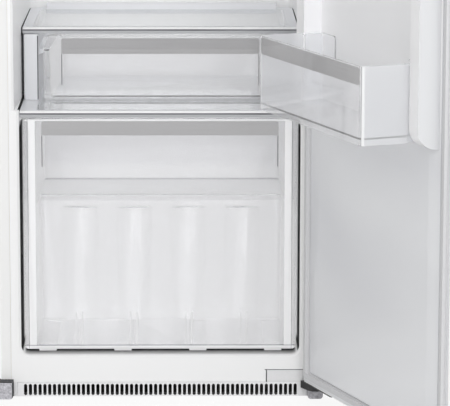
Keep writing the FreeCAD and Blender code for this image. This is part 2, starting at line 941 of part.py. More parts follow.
# Guide frames that carry the upper drawer: closed white front, hollow behind, a runner on the inner face
guide_side_gap = 2.0
guide_width = 25.5
guide_outer_half = frame_half - guide_side_gap
guide_inner_half = guide_outer_half - guide_width
guide_wall = 2.2
guide_front_wall = 5.0
guide_back_room = 34.0
guide_back_y = liner_depth - guide_back_room
guide_corner = 2.0
guide_runner_reach = 12.5
runner_inner_half = guide_inner_half - guide_runner_reach
guide_runner_drop = 31.0
guide_runner_z = top_shelf_z - guide_runner_drop
guide_runner_wall = 4.0
guide_runner_root = 12.0
guide_runner_start = 34.0
guide_ribs = 3


def guide_frame():
    low = middle_shelf_z + shelf_thickness + seat_gap
    high = top_shelf_z - seat_gap
    front = drawer_front_y - guide_front_wall
    outline = [
        (guide_inner_half, front, guide_corner),
        (guide_outer_half, front, guide_corner),
        (guide_outer_half, guide_back_y, 0),
        (guide_inner_half, guide_back_y, 0),
    ]
    body = prism(outline, plan(low), upward * (high - low))
    bay = (guide_back_y - drawer_front_y - guide_wall) / guide_ribs
    rooms = []
    for i in range(guide_ribs):
        start = drawer_front_y + i * bay
        rooms.append(
            box(guide_inner_half + guide_wall, guide_outer_half + overrun, start, start + bay - guide_wall,
                low + guide_wall, high - guide_wall)
        )
    body = body.cut(fuse(rooms))
    runner = [
        (runner_inner_half, guide_runner_z, 0),
        (guide_inner_half + guide_wall / 2, guide_runner_z, 0),
        (guide_inner_half + guide_wall / 2, guide_runner_z - guide_runner_root, 0),
        (runner_inner_half, guide_runner_z - guide_runner_wall, 0),
    ]
    start = drawer_front_y + guide_runner_start
    runner = prism(runner, elevation(start), inward * (guide_back_y - start))
    return fuse([body, runner])


right_guide = guide_frame()
keep("guide_frame_right", right_guide)
keep("guide_frame_left", mirrored(right_guide))

# Crisper: a large clear moulded box with a stepped back that clears the compressor step
crisper_side_gap = 6.2
crisper_half = recess_half - crisper_side_gap
crisper_front_y = 8.0
crisper_low_z = 84.2
crisper_high_z = 491.6
crisper_corner = 7.0
crisper_return = 9.0
crisper_depth_room = crisper_return + overrun
tub_side_setback = 8.2
tub_side_draft = 6.0
tub_taper = 8.0
crisper_back_room = 16.0
crisper_top_back_room = 38.0
crisper_tub_half = crisper_half - tub_side_setback
crisper_tub_low_half = crisper_tub_half - tub_side_draft
crisper_back_half = crisper_tub_half - tub_taper
crisper_lower_back_y = step_front_y - crisper_back_room
crisper_upper_back_y = liner_depth - crisper_top_back_room
crisper_ledge_z = 314.0
crisper_rim_z = 474.0
crisper_draft = 3.5
tub_corner = 12.0
flute_width = 57.0
flute_rise = 7.0
flute_cut_depth = 21.0
flute_shares = (-0.642, -0.214, 0.214, 0.642)
flute_xs = [crisper_tub_half * share for share in flute_shares]
flute_top_drop = 22.0
skid_back_room = 24.0
floor_rib_width = 2.4
floor_rib_height = 2.4
floor_rib_spread = 11.5
skid_height = 3.7


def tub_level(front_half, back_half, front_y, back_y, inset):
    """Plan outline of a drawer tub at one height, drawn in by the wall where it bounds the hollow."""
    return [
        (-front_half + inset, front_y + inset, 0),
        (front_half - inset, front_y + inset, 0),
        (back_half - inset, back_y - inset, tub_corner - inset),
        (-back_half + inset, back_y - inset, tub_corner - inset),
    ]


def crisper_tub(inset):
    low = crisper_low_z + inset
    front = crisper_front_y
    narrow = crisper_back_half - crisper_draft
    step_low = crisper_lower_back_y - crisper_draft
    step_high = crisper_upper_back_y - crisper_draft
    lower = loft(
        tub_level(crisper_tub_low_half, narrow, front, step_low, inset), plan(low),
        tub_level(crisper_tub_half, crisper_back_half, front, crisper_lower_back_y, inset),
        plan(crisper_ledge_z + 2 * inset),
    )
    top = crisper_rim_z + (overrun if inset else 0)
    upper = loft(
        tub_level(crisper_tub_half, crisper_back_half, front, step_high, inset),
        plan(crisper_ledge_z + inset),
        tub_level(crisper_tub_half, crisper_back_half, front, crisper_upper_back_y, inset), plan(top),
    )
    return fuse([lower, upper])


def flute(x, grow):
    """An upright round-backed flute that swells forward from the lower back wall."""
    chord = flute_width / 2 + grow
    rise = flute_rise + grow
    radius = (chord * chord + rise * rise) / (2 * rise)
    back = crisper_lower_back_y
    high = crisper_ledge_z - flute_top_drop + grow
    low = crisper_low_z - overrun
    tube = Part.makeCylinder(radius, high - low, V(x, back - crisper_draft + radius - rise, low))
    slab = box(x - flute_width, x + flute_width, back - flute_cut_depth, back + overrun, low, high)
    return tube.common(slab)


def crisper_box():
    outer = crisper_tub(0)
    hollow = crisper_tub(clear_wall).cut(fuse([flute(x, clear_wall) for x in flute_xs]))
    tub = outer.cut(fuse([flute(x, 0) for x in flute_xs])).cut(hollow)
    face_outline = rectangle(-crisper_half, crisper_half, crisper_low_z, crisper_high_z, crisper_corner)
    face = prism(face_outline, elevation(crisper_front_y), inward * (clear_wall + crisper_return))
    inner_half = crisper_half - clear_wall
    inner_outline = rectangle(-inner_half, inner_half, crisper_low_z + clear_wall,
                              crisper_high_z - clear_wall, crisper_corner - clear_wall)
    behind = prism(inner_outline, elevation(crisper_front_y + clear_wall), inward * crisper_depth_room)
    tray = face.cut(behind)
    ribs = []
    rib_back = crisper_lower_back_y - crisper_draft - clear_wall - flute_rise
    floor_z = crisper_low_z + clear_wall
    for x in flute_xs:
        for way in (-1, 1):
            middle = x + way * floor_rib_spread / 2
            ribs.append(
                box(middle - floor_rib_width / 2, middle + floor_rib_width / 2, crisper_front_y + clear_wall,
                    rib_back, floor_z - clear_wall / 2, floor_z + floor_rib_height)
            )
    for x in skid_xs:
        ribs.append(
            box(x - runner_width / 2, x + runner_width / 2, crisper_front_y + clear_wall,
                crisper_lower_back_y - skid_back_room, crisper_low_z - skid_height,
                crisper_low_z + clear_wall / 2)
        )
    return fuse([tub, tray] + ribs)


keep("crisper_box", crisper_box())

# Bands: tinted strips inside the drawer and bin fronts under the rim; on drawers a thin leg at each end
band_wall = 0.8
band_corner = 3.0
band_leg_width = 1.4
band_end_room = 32.2
crisper_band_half = crisper_half - band_end_room
crisper_band_low_z = 463.0
crisper_band_high_z = 488.0
crisper_leg_low_z = 408.0


def band(half, face_y, low, high, corner):
    outline = rectangle(-half, half, low, high, corner)
    return prism(outline, elevation(face_y), inward * band_wall)


def legged_band(half, face_y, low, high, leg_low):
    leg = box(half - band_leg_width, half, face_y, face_y + band_wall, leg_low, low + band_corner + overrun)
    return fuse([band(half, face_y, low, high, band_corner), leg, mirrored(leg)])


keep("crisper_band", legged_band(crisper_band_half, crisper_front_y + clear_wall, crisper_band_low_z,
                                 crisper_band_high_z, crisper_leg_low_z))

# Upper drawer: a shallower clear box whose side rims ride on the guide frames
drawer_side_gap = 8.9
drawer_low_z = 507.4
drawer_high_z = 618.4
drawer_tub_gap = 5.0
drawer_taper = 11.0
drawer_back_room = 40.0
drawer_half = guide_inner_half - drawer_side_gap
drawer_tub_half = runner_inner_half - drawer_tub_gap
drawer_back_half = drawer_tub_half - drawer_taper
drawer_back_y = liner_depth - drawer_back_room
drawer_rim_wall = 3.0
drawer_floor_lift = 3.0
drawer_face_corner = 6.0
drawer_return = 6.0


def drawer_box():
    rim_low = guide_runner_z + seat_gap
    rim_high = rim_low + drawer_rim_wall
    low = drawer_low_z + drawer_floor_lift
    draft = crisper_draft

    def tub(inset, top):
        foot_half = drawer_tub_half - draft
        foot_back_half = drawer_back_half - draft
        return loft(
            tub_level(foot_half, foot_back_half, drawer_front_y, drawer_back_y - 2 * draft, inset),
            plan(low + inset),
            tub_level(drawer_tub_half, drawer_back_half, drawer_front_y, drawer_back_y, inset), plan(top),
        )

    rim = [
        (-drawer_half, drawer_front_y + clear_wall, 0),
        (drawer_half, drawer_front_y + clear_wall, 0),
        (drawer_half, drawer_back_y + drawer_rim_wall, tub_corner),
        (-drawer_half, drawer_back_y + drawer_rim_wall, tub_corner),
    ]
    rim = prism(rim, plan(rim_low), upward * drawer_rim_wall)
    tub_solid = fuse([tub(0, rim_high), rim]).cut(tub(clear_wall, rim_high + overrun))
    face_outline = rectangle(-drawer_half, drawer_half, drawer_low_z, drawer_high_z, drawer_face_corner)
    face = prism(face_outline, elevation(drawer_front_y), inward * (clear_wall + drawer_return))
    inner_outline = rectangle(-drawer_half + clear_wall, drawer_half - clear_wall, drawer_low_z + clear_wall,
                              drawer_high_z - clear_wall, drawer_face_corner - clear_wall)
    behind = prism(inner_outline, elevation(drawer_front_y + clear_wall), inward * (drawer_return + overrun))
    return fuse([tub_solid, face.cut(behind)])


drawer_band_room = 31.6
drawer_band_half = drawer_half - drawer_band_room
drawer_band_low_z = 587.0
drawer_band_high_z = 615.0
drawer_leg_low_z = 531.0
keep("upper_drawer_box", drawer_box())
keep("upper_drawer_band", legged_band(drawer_band_half, drawer_front_y + clear_wall, drawer_band_low_z,
                                      drawer_band_high_z, drawer_leg_low_z))

# Door: folded steel skin, foamed core, moulded liner with a raised ring and two stiles, and its seal
skin_half = flange_half
door_liner_half = skin_half - sheet_wall
plateau_rise = 6.0
plateau_edge = 3.0
plateau_margin = 32.0
plateau_half = skin_half - plateau_margin
plateau_bevel = 37.0
plateau_low_z = 56.0
plateau_corner = 14.0
stile_margin = 4.0
stile_slope = 7.0
stile_width = 38.4
stile_outer_half = plateau_half - stile_margin
stile_top_outer_half = stile_outer_half - stile_slope
stile_inner_half = stile_outer_half - stile_width
stile_rise = 38.0
stile_low_z = 526.0
stile_high_margin = 36.0
stile_nose = 30.0
bin_side_gap = 1.1
bin_lug_reach = 7.6
bin_ear_gap = 3.0
bin_half = stile_inner_half - bin_side_gap
bin_lug_half = stile_inner_half - bin_lug_reach
bin_ear_half = bin_lug_half - bin_ear_gap
bin_front_y = 113.0
bin_back_clear = 1.5
bin_floor_lift = 10.0
bin_corner = 8.0
bin_ear_depth = 32.0
bin_ear_wall = 4.0
bin_hook_width = 54.0
bin_hook_corner = 8.0
bin_lug_drop = 40.0
bin_rear_share = 0.55
bottle_bin_height = 125.0
upper_bin_height = 96.0
bin_low_z = 532.0
bin_shelf_shares = (0.29, 0.53, 0.77)
door_inside_top_z = door_top_z + door_bottom_z - plateau_low_z - plateau_bevel
door_panel_y = door_back_y + plateau_rise
bins = [("bottle_bin", bin_low_z, bottle_bin_height)]
for number, share in enumerate(bin_shelf_shares):
    place_z = bin_low_z + (door_inside_top_z - bin_low_z) * share
    bins.append(("door_bin_" + "abc"[number], place_z, upper_bin_height))


def door_core(inset):
    """The door's filled volume behind its inner surface, with the liner's wall taken off by inset."""
    slab = box(-door_liner_half, door_liner_half, door_front_y + sheet_wall, door_back_y - inset,
               door_bottom_z + sheet_wall, door_top_z - sheet_wall)
    half = plateau_half - inset
    low = plateau_low_z + inset
    high = door_top_z + door_bottom_z - low
    edge_y = door_back_y + plateau_edge - inset
    foot = rectangle(-half, half, low, high, plateau_corner)
    edge = prism(foot, elevation(door_back_y - overrun), inward * (edge_y - door_back_y + overrun))
    crown = rectangle(-half + plateau_bevel, half - plateau_bevel, low + plateau_bevel, high - plateau_bevel,
                      plateau_corner)
    plateau = loft(foot, elevation(edge_y), crown, elevation(door_panel_y - inset))
    return fuse([slab, edge, plateau])


def stile(inset):
    """Right stile: rounded at both ends, square to the bins on its inner side and sloped outside."""
    low = stile_low_z + inset
    high = door_inside_top_z + stile_high_margin - inset
    root_y = door_back_y - inset
    top_y = door_back_y + stile_rise - inset
    inner = stile_inner_half + inset
    outer = stile_outer_half - inset
    length = [
        (root_y, low, 0),
        (top_y, low, stile_nose),
        (top_y, high, stile_nose),
        (root_y, high, 0),
    ]
    section = [
        (inner, root_y, 0),
        (outer, root_y, 0),
        (stile_top_outer_half - inset, top_y, 0),
        (inner, top_y, 0),
    ]
    along = prism(length, side(inner), across * (outer - inner))
    return along.common(prism(section, plan(low), upward * (high - low)))


def bin_lug(top_z):
    """A peg on the stile's inner face that a bin's ear hooks over."""
    high = top_z - bin_ear_wall - seat_gap
    front = bin_back_y() + bin_ear_depth - 2 * bin_ear_wall
    outline = [
        (door_panel_y - liner_wall / 2, high - bin_lug_drop, 0),
        (front - bin_ear_wall, high - bin_lug_drop, 0),
        (front, high - bin_lug_drop + bin_ear_wall, 0),
        (front, high - bin_ear_wall, 0),
        (front - bin_ear_wall, high, 0),
        (door_panel_y - liner_wall / 2, high, 0),
    ]
    return prism(outline, side(bin_lug_half), across * (stile_inner_half + liner_wall / 2 - bin_lug_half))


def bin_back_y():
    return door_panel_y + bin_back_clear


def door_liner():
    outer = fuse([door_core(0), stile(0), mirrored(stile(0))])
    shell = outer.cut(door_foam_solid())
    lugs = []
    for name, low, height in bins:
        lug = bin_lug(low + height)
        lugs += [lug, mirrored(lug)]
    return fuse([shell] + lugs)


def door_foam_solid():
    inner = stile(liner_wall)
    return fuse([door_core(liner_wall), inner, mirrored(inner)])


def door_skin():
    outer = box(-skin_half, skin_half, door_front_y, door_back_y, door_bottom_z, door_top_z)
    room = box(-door_liner_half, door_liner_half, door_front_y + sheet_wall, door_back_y + overrun,
               door_bottom_z + sheet_wall, door_top_z - sheet_wall)
    return outer.cut(room)


keep("door_liner", swung(door_liner()))

seal_margin = 8.0
seal_outer_half = skin_half - seal_margin
seal_width = 14.0
seal_foot = 2.0
seal_inset = 2.6
seal_round = 3.5
seal_end_margin = 8.0


def door_seal():
    """Magnetic seal: a flat foot on the door and a narrower bellows that meets the cabinet."""
    low = door_bottom_z + seal_end_margin
    high = door_top_z - seal_end_margin

    def ring(grow, start, depth):
        half = seal_outer_half - grow
        reach = seal_width - grow
        inner_half = seal_outer_half - reach
        outer = rectangle(-half, half, low + grow, high - grow, seal_round)
        room = rectangle(-inner_half, inner_half, low + reach, high - reach, seal_round)
        solid = prism(outer, elevation(start), inward * depth)
        return solid.cut(prism(room, elevation(start), inward * depth))

    bellows_start = door_back_y + seal_foot
    return fuse([ring(0, door_back_y, seal_foot), ring(seal_inset, bellows_start, -seat_gap - bellows_start)])


keep("door_seal", swung(door_seal()))

# Door side of the hinges: black moulded carriers with a bush that turns on the pin
carrier_back = 100.0
carrier_outer = 6.0
carrier_corner = 5.0
bush_gap = 0.15


def hinge_carrier():
    low = arm_high_z + seat_gap
    outline = rectangle(pivot.x - carrier_back, pivot.x + carrier_outer, door_front_y + flange_turn,
                        door_back_y - liner_wall, carrier_corner)
    plate = prism(outline, plan(low), upward * (door_bottom_z - low))
    bore = Part.makeCylinder(pin_radius + bush_gap, pin_length + overrun, V(pivot.x, pivot.y, low - overrun))
    return plate.cut(bore)


def pin_well():
    """Clear well in the door's skin and core around the pin."""
    return Part.makeCylinder(pin_radius + slide_gap, pin_length + slide_gap, V(pivot.x, pivot.y, arm_low_z))


lower_carrier = hinge_carrier()
keep("lower_hinge_carrier", swung(lower_carrier))
keep("upper_hinge_carrier", swung(mirror_up(lower_carrier)))
wells = fuse([pin_well(), mirror_up(pin_well())])
keep("door_skin", swung(door_skin().cut(wells)))
keep("door_insulation", swung(door_foam_solid().cut(wells)))

# Fittings on the door's outer face that carry the furniture front
slide_width = 34.0
slide_height = 96.0
slide_depth = 13.0
slide_wall = 1.6
slide_slot = 12.0
slide_x = -190.0
slide_inset_z = 240.0


def front_slide(z):
    """Channel section, open at both ends, with a slot down its face for the front's runner."""
    low = z - slide_height / 2
    high = low + slide_height
    face_y = door_front_y - slide_depth
    half = slide_width / 2
    outer = box(slide_x - half, slide_x + half, face_y, door_front_y, low, high)
    inner = half - slide_wall
    room = box(slide_x - inner, slide_x + inner, face_y + slide_wall, door_front_y - slide_wall,
               low - overrun, high + overrun)
    slot = box(slide_x - slide_slot / 2, slide_x + slide_slot / 2, face_y - overrun,
               door_front_y - 2 * slide_wall, low - overrun, high + overrun)
    return outer.cut(fuse([room, slot]))


slide_zs = (door_bottom_z + slide_inset_z, door_top_z - slide_inset_z)
keep("front_slides", swung(Part.makeCompound([front_slide(z) for z in slide_zs])))

# Door bins: clear moulded troughs hooked between the stiles, each with a tinted band behind its front


def door_bin(low, height):
    high = low + height
    back = bin_back_y()
    front = bin_front_y
    shoulder = back + bin_ear_depth
    wall = clear_wall

    def trough(inset):
        return [
            (-bin_ear_half + inset, back + inset, 0),
            (bin_ear_half - inset, back + inset, 0),
            (bin_ear_half - inset, shoulder + inset, 0),
            (bin_half - inset, shoulder + inset, 0),
            (bin_half - inset, front - inset, bin_corner - inset),
            (-bin_half + inset, front - inset, bin_corner - inset),
            (-bin_half + inset, shoulder + inset, 0),
            (-bin_ear_half + inset, shoulder + inset, 0),
        ]

    shell = prism(trough(0), plan(low), upward * height)
    above = prism(trough(wall), plan(low + bin_floor_lift + wall), upward * height)
    below = prism(trough(wall), plan(low - overrun), upward * (bin_floor_lift + overrun))
    rear_top = low + height * bin_rear_share
    rear_cut = box(-bin_ear_half - overrun, bin_ear_half + overrun, back - overrun, back + wall, rear_top,
                   high + overrun)
    bowl = shell.cut(fuse([above, below, rear_cut]))
    hook_outline = [
        (bin_ear_half, rear_top, 0),
        (bin_ear_half, high, 0),
        (bin_ear_half - bin_hook_width, high, bin_hook_corner),
        (bin_ear_half - bin_hook_width, rear_top, 0),
    ]
    hook = prism(hook_outline, elevation(back), inward * wall)
    ear = box(bin_ear_half - wall, bin_half, back, shoulder + wall, high - bin_ear_wall, high)
    return fuse([bowl, hook, mirrored(hook), ear, mirrored(ear)])


bin_band_end_room = 8.5
bin_band_half = bin_half - bin_band_end_room
bin_band_drop = 2.6
bin_band_height = 28.0
for name, low, height in bins:
    keep(name, swung(door_bin(low, height)))
    high = low + height - bin_band_drop
    strip_y = bin_front_y - clear_wall - band_wall
    strip = band(bin_band_half, strip_y, high - bin_band_height, high, band_corner)
    keep(name + "_band", swung(strip))
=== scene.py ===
import json
import math

import bmesh
import bpy
from mathutils import Euler, Matrix, Vector

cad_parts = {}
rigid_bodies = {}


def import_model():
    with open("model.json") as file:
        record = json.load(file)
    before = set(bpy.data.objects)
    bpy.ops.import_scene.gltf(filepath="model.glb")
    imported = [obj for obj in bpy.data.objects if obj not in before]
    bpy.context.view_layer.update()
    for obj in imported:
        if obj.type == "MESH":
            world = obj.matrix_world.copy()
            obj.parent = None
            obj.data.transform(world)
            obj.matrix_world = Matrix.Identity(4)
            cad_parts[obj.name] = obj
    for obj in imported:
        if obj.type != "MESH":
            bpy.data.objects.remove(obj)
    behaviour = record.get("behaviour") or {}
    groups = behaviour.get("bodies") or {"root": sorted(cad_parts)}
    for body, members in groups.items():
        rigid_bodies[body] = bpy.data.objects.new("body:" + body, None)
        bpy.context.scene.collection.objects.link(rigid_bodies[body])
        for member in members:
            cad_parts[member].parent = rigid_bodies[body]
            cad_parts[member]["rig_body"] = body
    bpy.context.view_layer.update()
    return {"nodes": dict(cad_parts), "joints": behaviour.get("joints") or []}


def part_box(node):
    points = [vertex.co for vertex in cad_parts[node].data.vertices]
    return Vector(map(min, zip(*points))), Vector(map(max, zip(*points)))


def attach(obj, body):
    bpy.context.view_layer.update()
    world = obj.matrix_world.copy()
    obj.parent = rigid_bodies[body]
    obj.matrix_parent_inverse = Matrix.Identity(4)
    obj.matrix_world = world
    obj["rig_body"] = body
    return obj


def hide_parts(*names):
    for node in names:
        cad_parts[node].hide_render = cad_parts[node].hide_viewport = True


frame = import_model()

# The viewpoint: a long lens at chest height about five metres in front of the cabinet, looking a little
# down at its lower half, with the door standing open to the right. Angles here are in degrees, and every
# place in this file is in metres, as in the frame.
look_down = 10.736
lean = -0.105
turn = -0.781
camera_data = bpy.data.cameras.new("camera")
camera_data.lens = 233.98
camera_data.sensor_width = 36.0
camera_data.clip_start = 0.1
camera_data.clip_end = 60.0
camera = bpy.data.objects.new("camera", camera_data)
camera.location = (0.0430, -4.9860, 1.2911)
camera.rotation_mode = "XYZ"
camera.rotation_euler = Euler([math.radians(angle) for angle in (90 - look_down, lean, turn)])
bpy.context.scene.collection.objects.link(camera)
bpy.context.scene.camera = camera

# Casing and door skin: cold-rolled steel sheet, folded to shape and powder coated white before assembly.
# The coat gives an even satin sheen with a faint orange peel and next to no colour of its own.


def linear(hex_colour):
    """The linear colour of an sRGB hex value, with full alpha."""
    parts = [int(hex_colour[i:i + 2], 16) / 255 for i in (1, 3, 5)]
    return tuple(c / 12.92 if c <= 0.04045 else ((c + 0.055) / 1.055) ** 2.4 for c in parts) + (1.0,)


def add(tree, kind, settings=None, links=None):
    """Adds a node, sets its properties, inputs and colour stops, and links (node, output) pairs to inputs."""
    made = tree.nodes.new(kind)
    for name, value in (settings or {}).items():
        if name == "stops":
            for stop, colour in zip(made.color_ramp.elements, value):
                stop.color = linear(colour)
        elif isinstance(name, int) or name in made.inputs:
            made.inputs[name].default_value = value
        else:
            setattr(made, name, value)
    for name, (source, output) in (links or {}).items():
        tree.links.new(source.outputs[output], made.inputs[name])
    return made


def surface(name):
    """A new material, its node tree, and a node with the coordinates of the object that wears it."""
    material = bpy.data.materials.new(name)
    material.use_nodes = True
    tree = material.node_tree
    tree.nodes.clear()
    return material, tree, add(tree, "ShaderNodeTexCoord")


def dress(material, *pieces):
    """Gives CAD nodes or new pieces their material, or a tuple of materials for their faces' slots."""
    for piece in pieces:
        thing = frame["nodes"][piece] if isinstance(piece, str) else piece
        slots = [polygon.material_index for polygon in thing.data.polygons]
        thing.data.materials.clear()
        for each in material if isinstance(material, tuple) else (material,):
            thing.data.materials.append(each)
        if thing is piece:
            thing.data.polygons.foreach_set("material_index", slots)


peel_size = 0.0016
coat_cloud_size = 0.35
powder_coat, tree, place = surface("powder_coated_steel")
peel = add(tree, "ShaderNodeTexNoise", {"Scale": 1 / peel_size, "Detail": 2.0}, {"Vector": (place, "Object")})
cloud = add(tree, "ShaderNodeTexNoise", {"Scale": 1 / coat_cloud_size, "Detail": 1.0},
            {"Vector": (place, "Object")})
tone = add(tree, "ShaderNodeValToRGB", {"stops": ("#ECECEB", "#F2F2F1")}, {"Fac": (cloud, "Fac")})
bump = add(tree, "ShaderNodeBump", {"Strength": 0.12, "Distance": 0.00004}, {"Height": (peel, "Fac")})
coat = add(tree, "ShaderNodeBsdfPrincipled", {"Roughness": 0.38, "IOR": 1.5},
           {"Base Color": (tone, "Color"), "Normal": (bump, "Normal")})
add(tree, "ShaderNodeOutputMaterial", {}, {"Surface": (coat, "BSDF")})
dress(powder_coat, "side_panel_left", "side_panel_right", "top_panel", "door_skin")

# Back panel and front sill: bare hot-dip galvanised sheet, folded and riveted to the casing.
# Zinc crystals show as a pale spangle, larger than a fingernail, over a dull metal.
spangle_size = 0.012
galvanised, tree, place = surface("galvanised_sheet")
spangle = add(tree, "ShaderNodeTexVoronoi", {"Scale": 1 / spangle_size}, {"Vector": (place, "Object")})
tone = add(tree, "ShaderNodeValToRGB", {"stops": ("#9DA1A3", "#BBBFC0")}, {"Fac": (spangle, "Color")})
gloss = add(tree, "ShaderNodeMapRange", {"To Min": 0.38, "To Max": 0.55}, {"Value": (spangle, "Color")})
zinc = add(tree, "ShaderNodeBsdfPrincipled", {"Metallic": 1.0},
           {"Base Color": (tone, "Color"), "Roughness": (gloss, "Result")})
add(tree, "ShaderNodeOutputMaterial", {}, {"Surface": (zinc, "BSDF")})
dress(galvanised, "back_panel", "front_sill")

# Inner liner: one sheet of white high-impact polystyrene, vacuum formed over a mould and satin all over.
# Its colour greys towards the ceiling, and painted shade greys the back wall behind the crisper.
# Painted shade fills the slot round the crisper and the gaps beside the shelves and the hinge plate.


def axes(tree, place):
    """The object's x, y and z, and the distance to the side from its middle, as (node, output) pairs."""
    point = add(tree, "ShaderNodeSeparateXYZ", {}, {"Vector": (place, "Object")})
    aside = add(tree, "ShaderNodeMath", {"operation": "ABSOLUTE"}, {0: (point, "X")})
    return {"x": (point, "X"), "y": (point, "Y"), "z": (point, "Z"), "aside": (aside, "Value")}


def joined(tree, operation, parts):
    """Joins (node, output) pairs one after another by a mathematical operation."""
    whole = parts[0]
    for part in parts[1:]:
        whole = (add(tree, "ShaderNodeMath", {"operation": operation}, {0: whole, 1: part}), "Value")
    return whole


def growing(tree, at, stretches):
    """A mask that grows from none to full along every stretch, which names an axis and two places."""
    parts = []
    for axis, none, full in stretches:
        rise = add(tree, "ShaderNodeMapRange", {"From Min": none, "From Max": full}, {"Value": at[axis]})
        parts.append((rise, "Result"))
    return joined(tree, "MULTIPLY", parts)


def within(tree, at, stretches):
    """A mask that is full only inside every stretch; None leaves that end of a stretch open."""
    parts = []
    for axis, low, high in stretches:
        for operation, limit in (("GREATER_THAN", low), ("LESS_THAN", high)):
            if limit is not None:
                test = add(tree, "ShaderNodeMath", {"operation": operation, 1: limit}, {0: at[axis]})
                parts.append((test, "Value"))
    return joined(tree, "MULTIPLY", parts)


def piece_from(work, name):
    """A new object made from a bmesh and linked to the scene."""
    mesh = bpy.data.meshes.new(name)
    work.to_mesh(mesh)
    work.free()
    piece = bpy.data.objects.new(name, mesh)
    bpy.context.scene.collection.objects.link(piece)
    return piece


def eased(node, width, segments=2, second=None):
    """A copy of a CAD node's mesh with its sharp edges rounded, shown in the node's place.
    Faces whose centre and normal pass the test in second get the second of the piece's materials."""
    source = frame["nodes"][node]
    work = bmesh.new()
    work.from_mesh(source.data)
    bmesh.ops.remove_doubles(work, verts=work.verts, dist=0.00002)
    bmesh.ops.dissolve_limit(work, angle_limit=math.radians(0.03), verts=work.verts, edges=work.edges)
    piece = piece_from(work, node + "_rounded")
    bevel = piece.modifiers.new("rounding", "BEVEL")
    bevel.width = width
    bevel.segments = segments
    bevel.limit_method = "ANGLE"
    bevel.angle_limit = math.radians(25)
    bevel.use_clamp_overlap = True
    bevel.harden_normals = True
    for polygon in piece.data.polygons:
        polygon.use_smooth = True
        polygon.material_index = 1 if second and second(polygon.center, polygon.normal) else 0
    piece.data.set_sharp_from_angle(angle=0.35)
    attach(piece, source["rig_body"])
    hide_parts(node)
    return piece


# The sockets of a Mix node that blends colours: its factor, its two colours and its result.
mix_factor = 0
mix_a = 6
mix_b = 7
mix_result = 2

sheet_grain_size = 0.0009
crisper_low, crisper_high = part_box("crisper_box")
shelf_low, shelf_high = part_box("middle_shelf_frame")
top_shelf_low, top_shelf_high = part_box("top_shelf_frame")
plate_low, plate_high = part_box("lower_hinge_plate")
apron_back = 0.003
slot_shade_fades = 0.085
slot_shade_ends = 0.130
floor_shade_starts = 0.0006
floor_shade_full = 0.036
floor_shade_fades = 0.046
floor_shade_ends = 0.060
rear_wall_from = 0.30
step_top = 0.325

# Each mask below is bound by stretches: an axis and two places on it, measured from a neighbour's box.
shaded_styrene, tree, place = surface("shaded_polystyrene")
at = axes(tree, place)
# painted shade in the slot beside the crisper and on the recess floor under its front
beside_crisper = growing(tree, at, (
    ("y", crisper_low.y - 0.002, crisper_low.y + 0.002), ("y", slot_shade_ends, slot_shade_fades),
    ("z", shelf_low.z - 0.006, shelf_low.z - 0.020),
    ("aside", crisper_high.x + 0.0023, crisper_high.x + 0.0043)))
under_crisper = growing(tree, at, (
    ("y", floor_shade_starts, floor_shade_full), ("y", floor_shade_ends, floor_shade_fades),
    ("z", crisper_low.z - 0.0015, crisper_low.z - 0.0035)))
# painted shade lines in the gaps beside the shelves and round the hinge plate
beside_shelf = within(tree, at, (
    ("aside", shelf_high.x + 0.0004, shelf_high.x + 0.0034), ("y", shelf_low.y + 0.003, None),
    ("z", shelf_low.z + 0.0045, shelf_high.z + 0.003)))
beside_top_shelf = within(tree, at, (
    ("aside", top_shelf_high.x - 0.0005, top_shelf_high.x + 0.017), ("y", top_shelf_low.y + 0.006, None),
    ("z", top_shelf_low.z - 0.005, top_shelf_low.z + 0.0105)))
over_plate = within(tree, at, (
    ("x", plate_low.x - 0.004, plate_high.x + 0.0025), ("y", None, apron_back),
    ("z", plate_high.z, plate_high.z + 0.0014)))
beside_plate = within(tree, at, (
    ("x", plate_low.x - 0.002, plate_low.x - 0.0006), ("y", None, apron_back),
    ("z", plate_low.z - 0.0008, plate_high.z + 0.0014)))
# all the painted shade together, given the dark colour below
shade = joined(tree, "MAXIMUM", (
    beside_crisper, under_crisper, beside_shelf, beside_top_shelf, over_plate, beside_plate))
grain = add(tree, "ShaderNodeTexNoise", {"Scale": 1 / sheet_grain_size, "Detail": 1.0},
            {"Vector": (place, "Object")})
dark = add(tree, "ShaderNodeValToRGB", {"stops": ("#101012", "#1A1A1C")}, {"Fac": (grain, "Fac")})
upward = add(tree, "ShaderNodeMapRange", {"From Min": 0.55, "From Max": 1.65}, {"Value": at["z"]})
tone = add(tree, "ShaderNodeValToRGB", {"stops": ("#F3F3F3", "#D6D6D8")}, {"Fac": (upward, "Result")})
for share_of_height, colour in ((0.12, "#FAFAFA"), (0.28, "#F4F4F4"), (0.55, "#E4E4E5")):
    tone.color_ramp.elements.new(share_of_height).color = linear(colour)
# painted shade on the back wall behind the crisper, under the middle shelf
painted_shade_behind_crisper = growing(tree, at, (
    ("y", rear_wall_from, rear_wall_from + 0.020), ("z", step_top, step_top + 0.020),
    ("z", shelf_low.z - 0.004, shelf_low.z - 0.024)))
tone = add(tree, "ShaderNodeMix", {"data_type": "RGBA", mix_b: linear("#E4E4E6")},
           {mix_factor: painted_shade_behind_crisper, mix_a: (tone, "Color")})
tone = add(tree, "ShaderNodeMix", {"data_type": "RGBA"},
           {mix_factor: shade, mix_a: (tone, mix_result), mix_b: (dark, "Color")})
bump = add(tree, "ShaderNodeBump", {"Strength": 0.08, "Distance": 0.00003}, {"Height": (grain, "Fac")})
gloss = add(tree, "ShaderNodeMapRange", {"To Min": 0.32, "To Max": 0.85}, {"Value": shade})
sheet = add(tree, "ShaderNodeBsdfPrincipled", {"IOR": 1.45},
            {"Base Color": (tone, mix_result), "Normal": (bump, "Normal"), "Roughness": (gloss, "Result")})
add(tree, "ShaderNodeOutputMaterial", {}, {"Surface": (sheet, "BSDF")})
dress(shaded_styrene, eased("inner_liner", 0.0008))

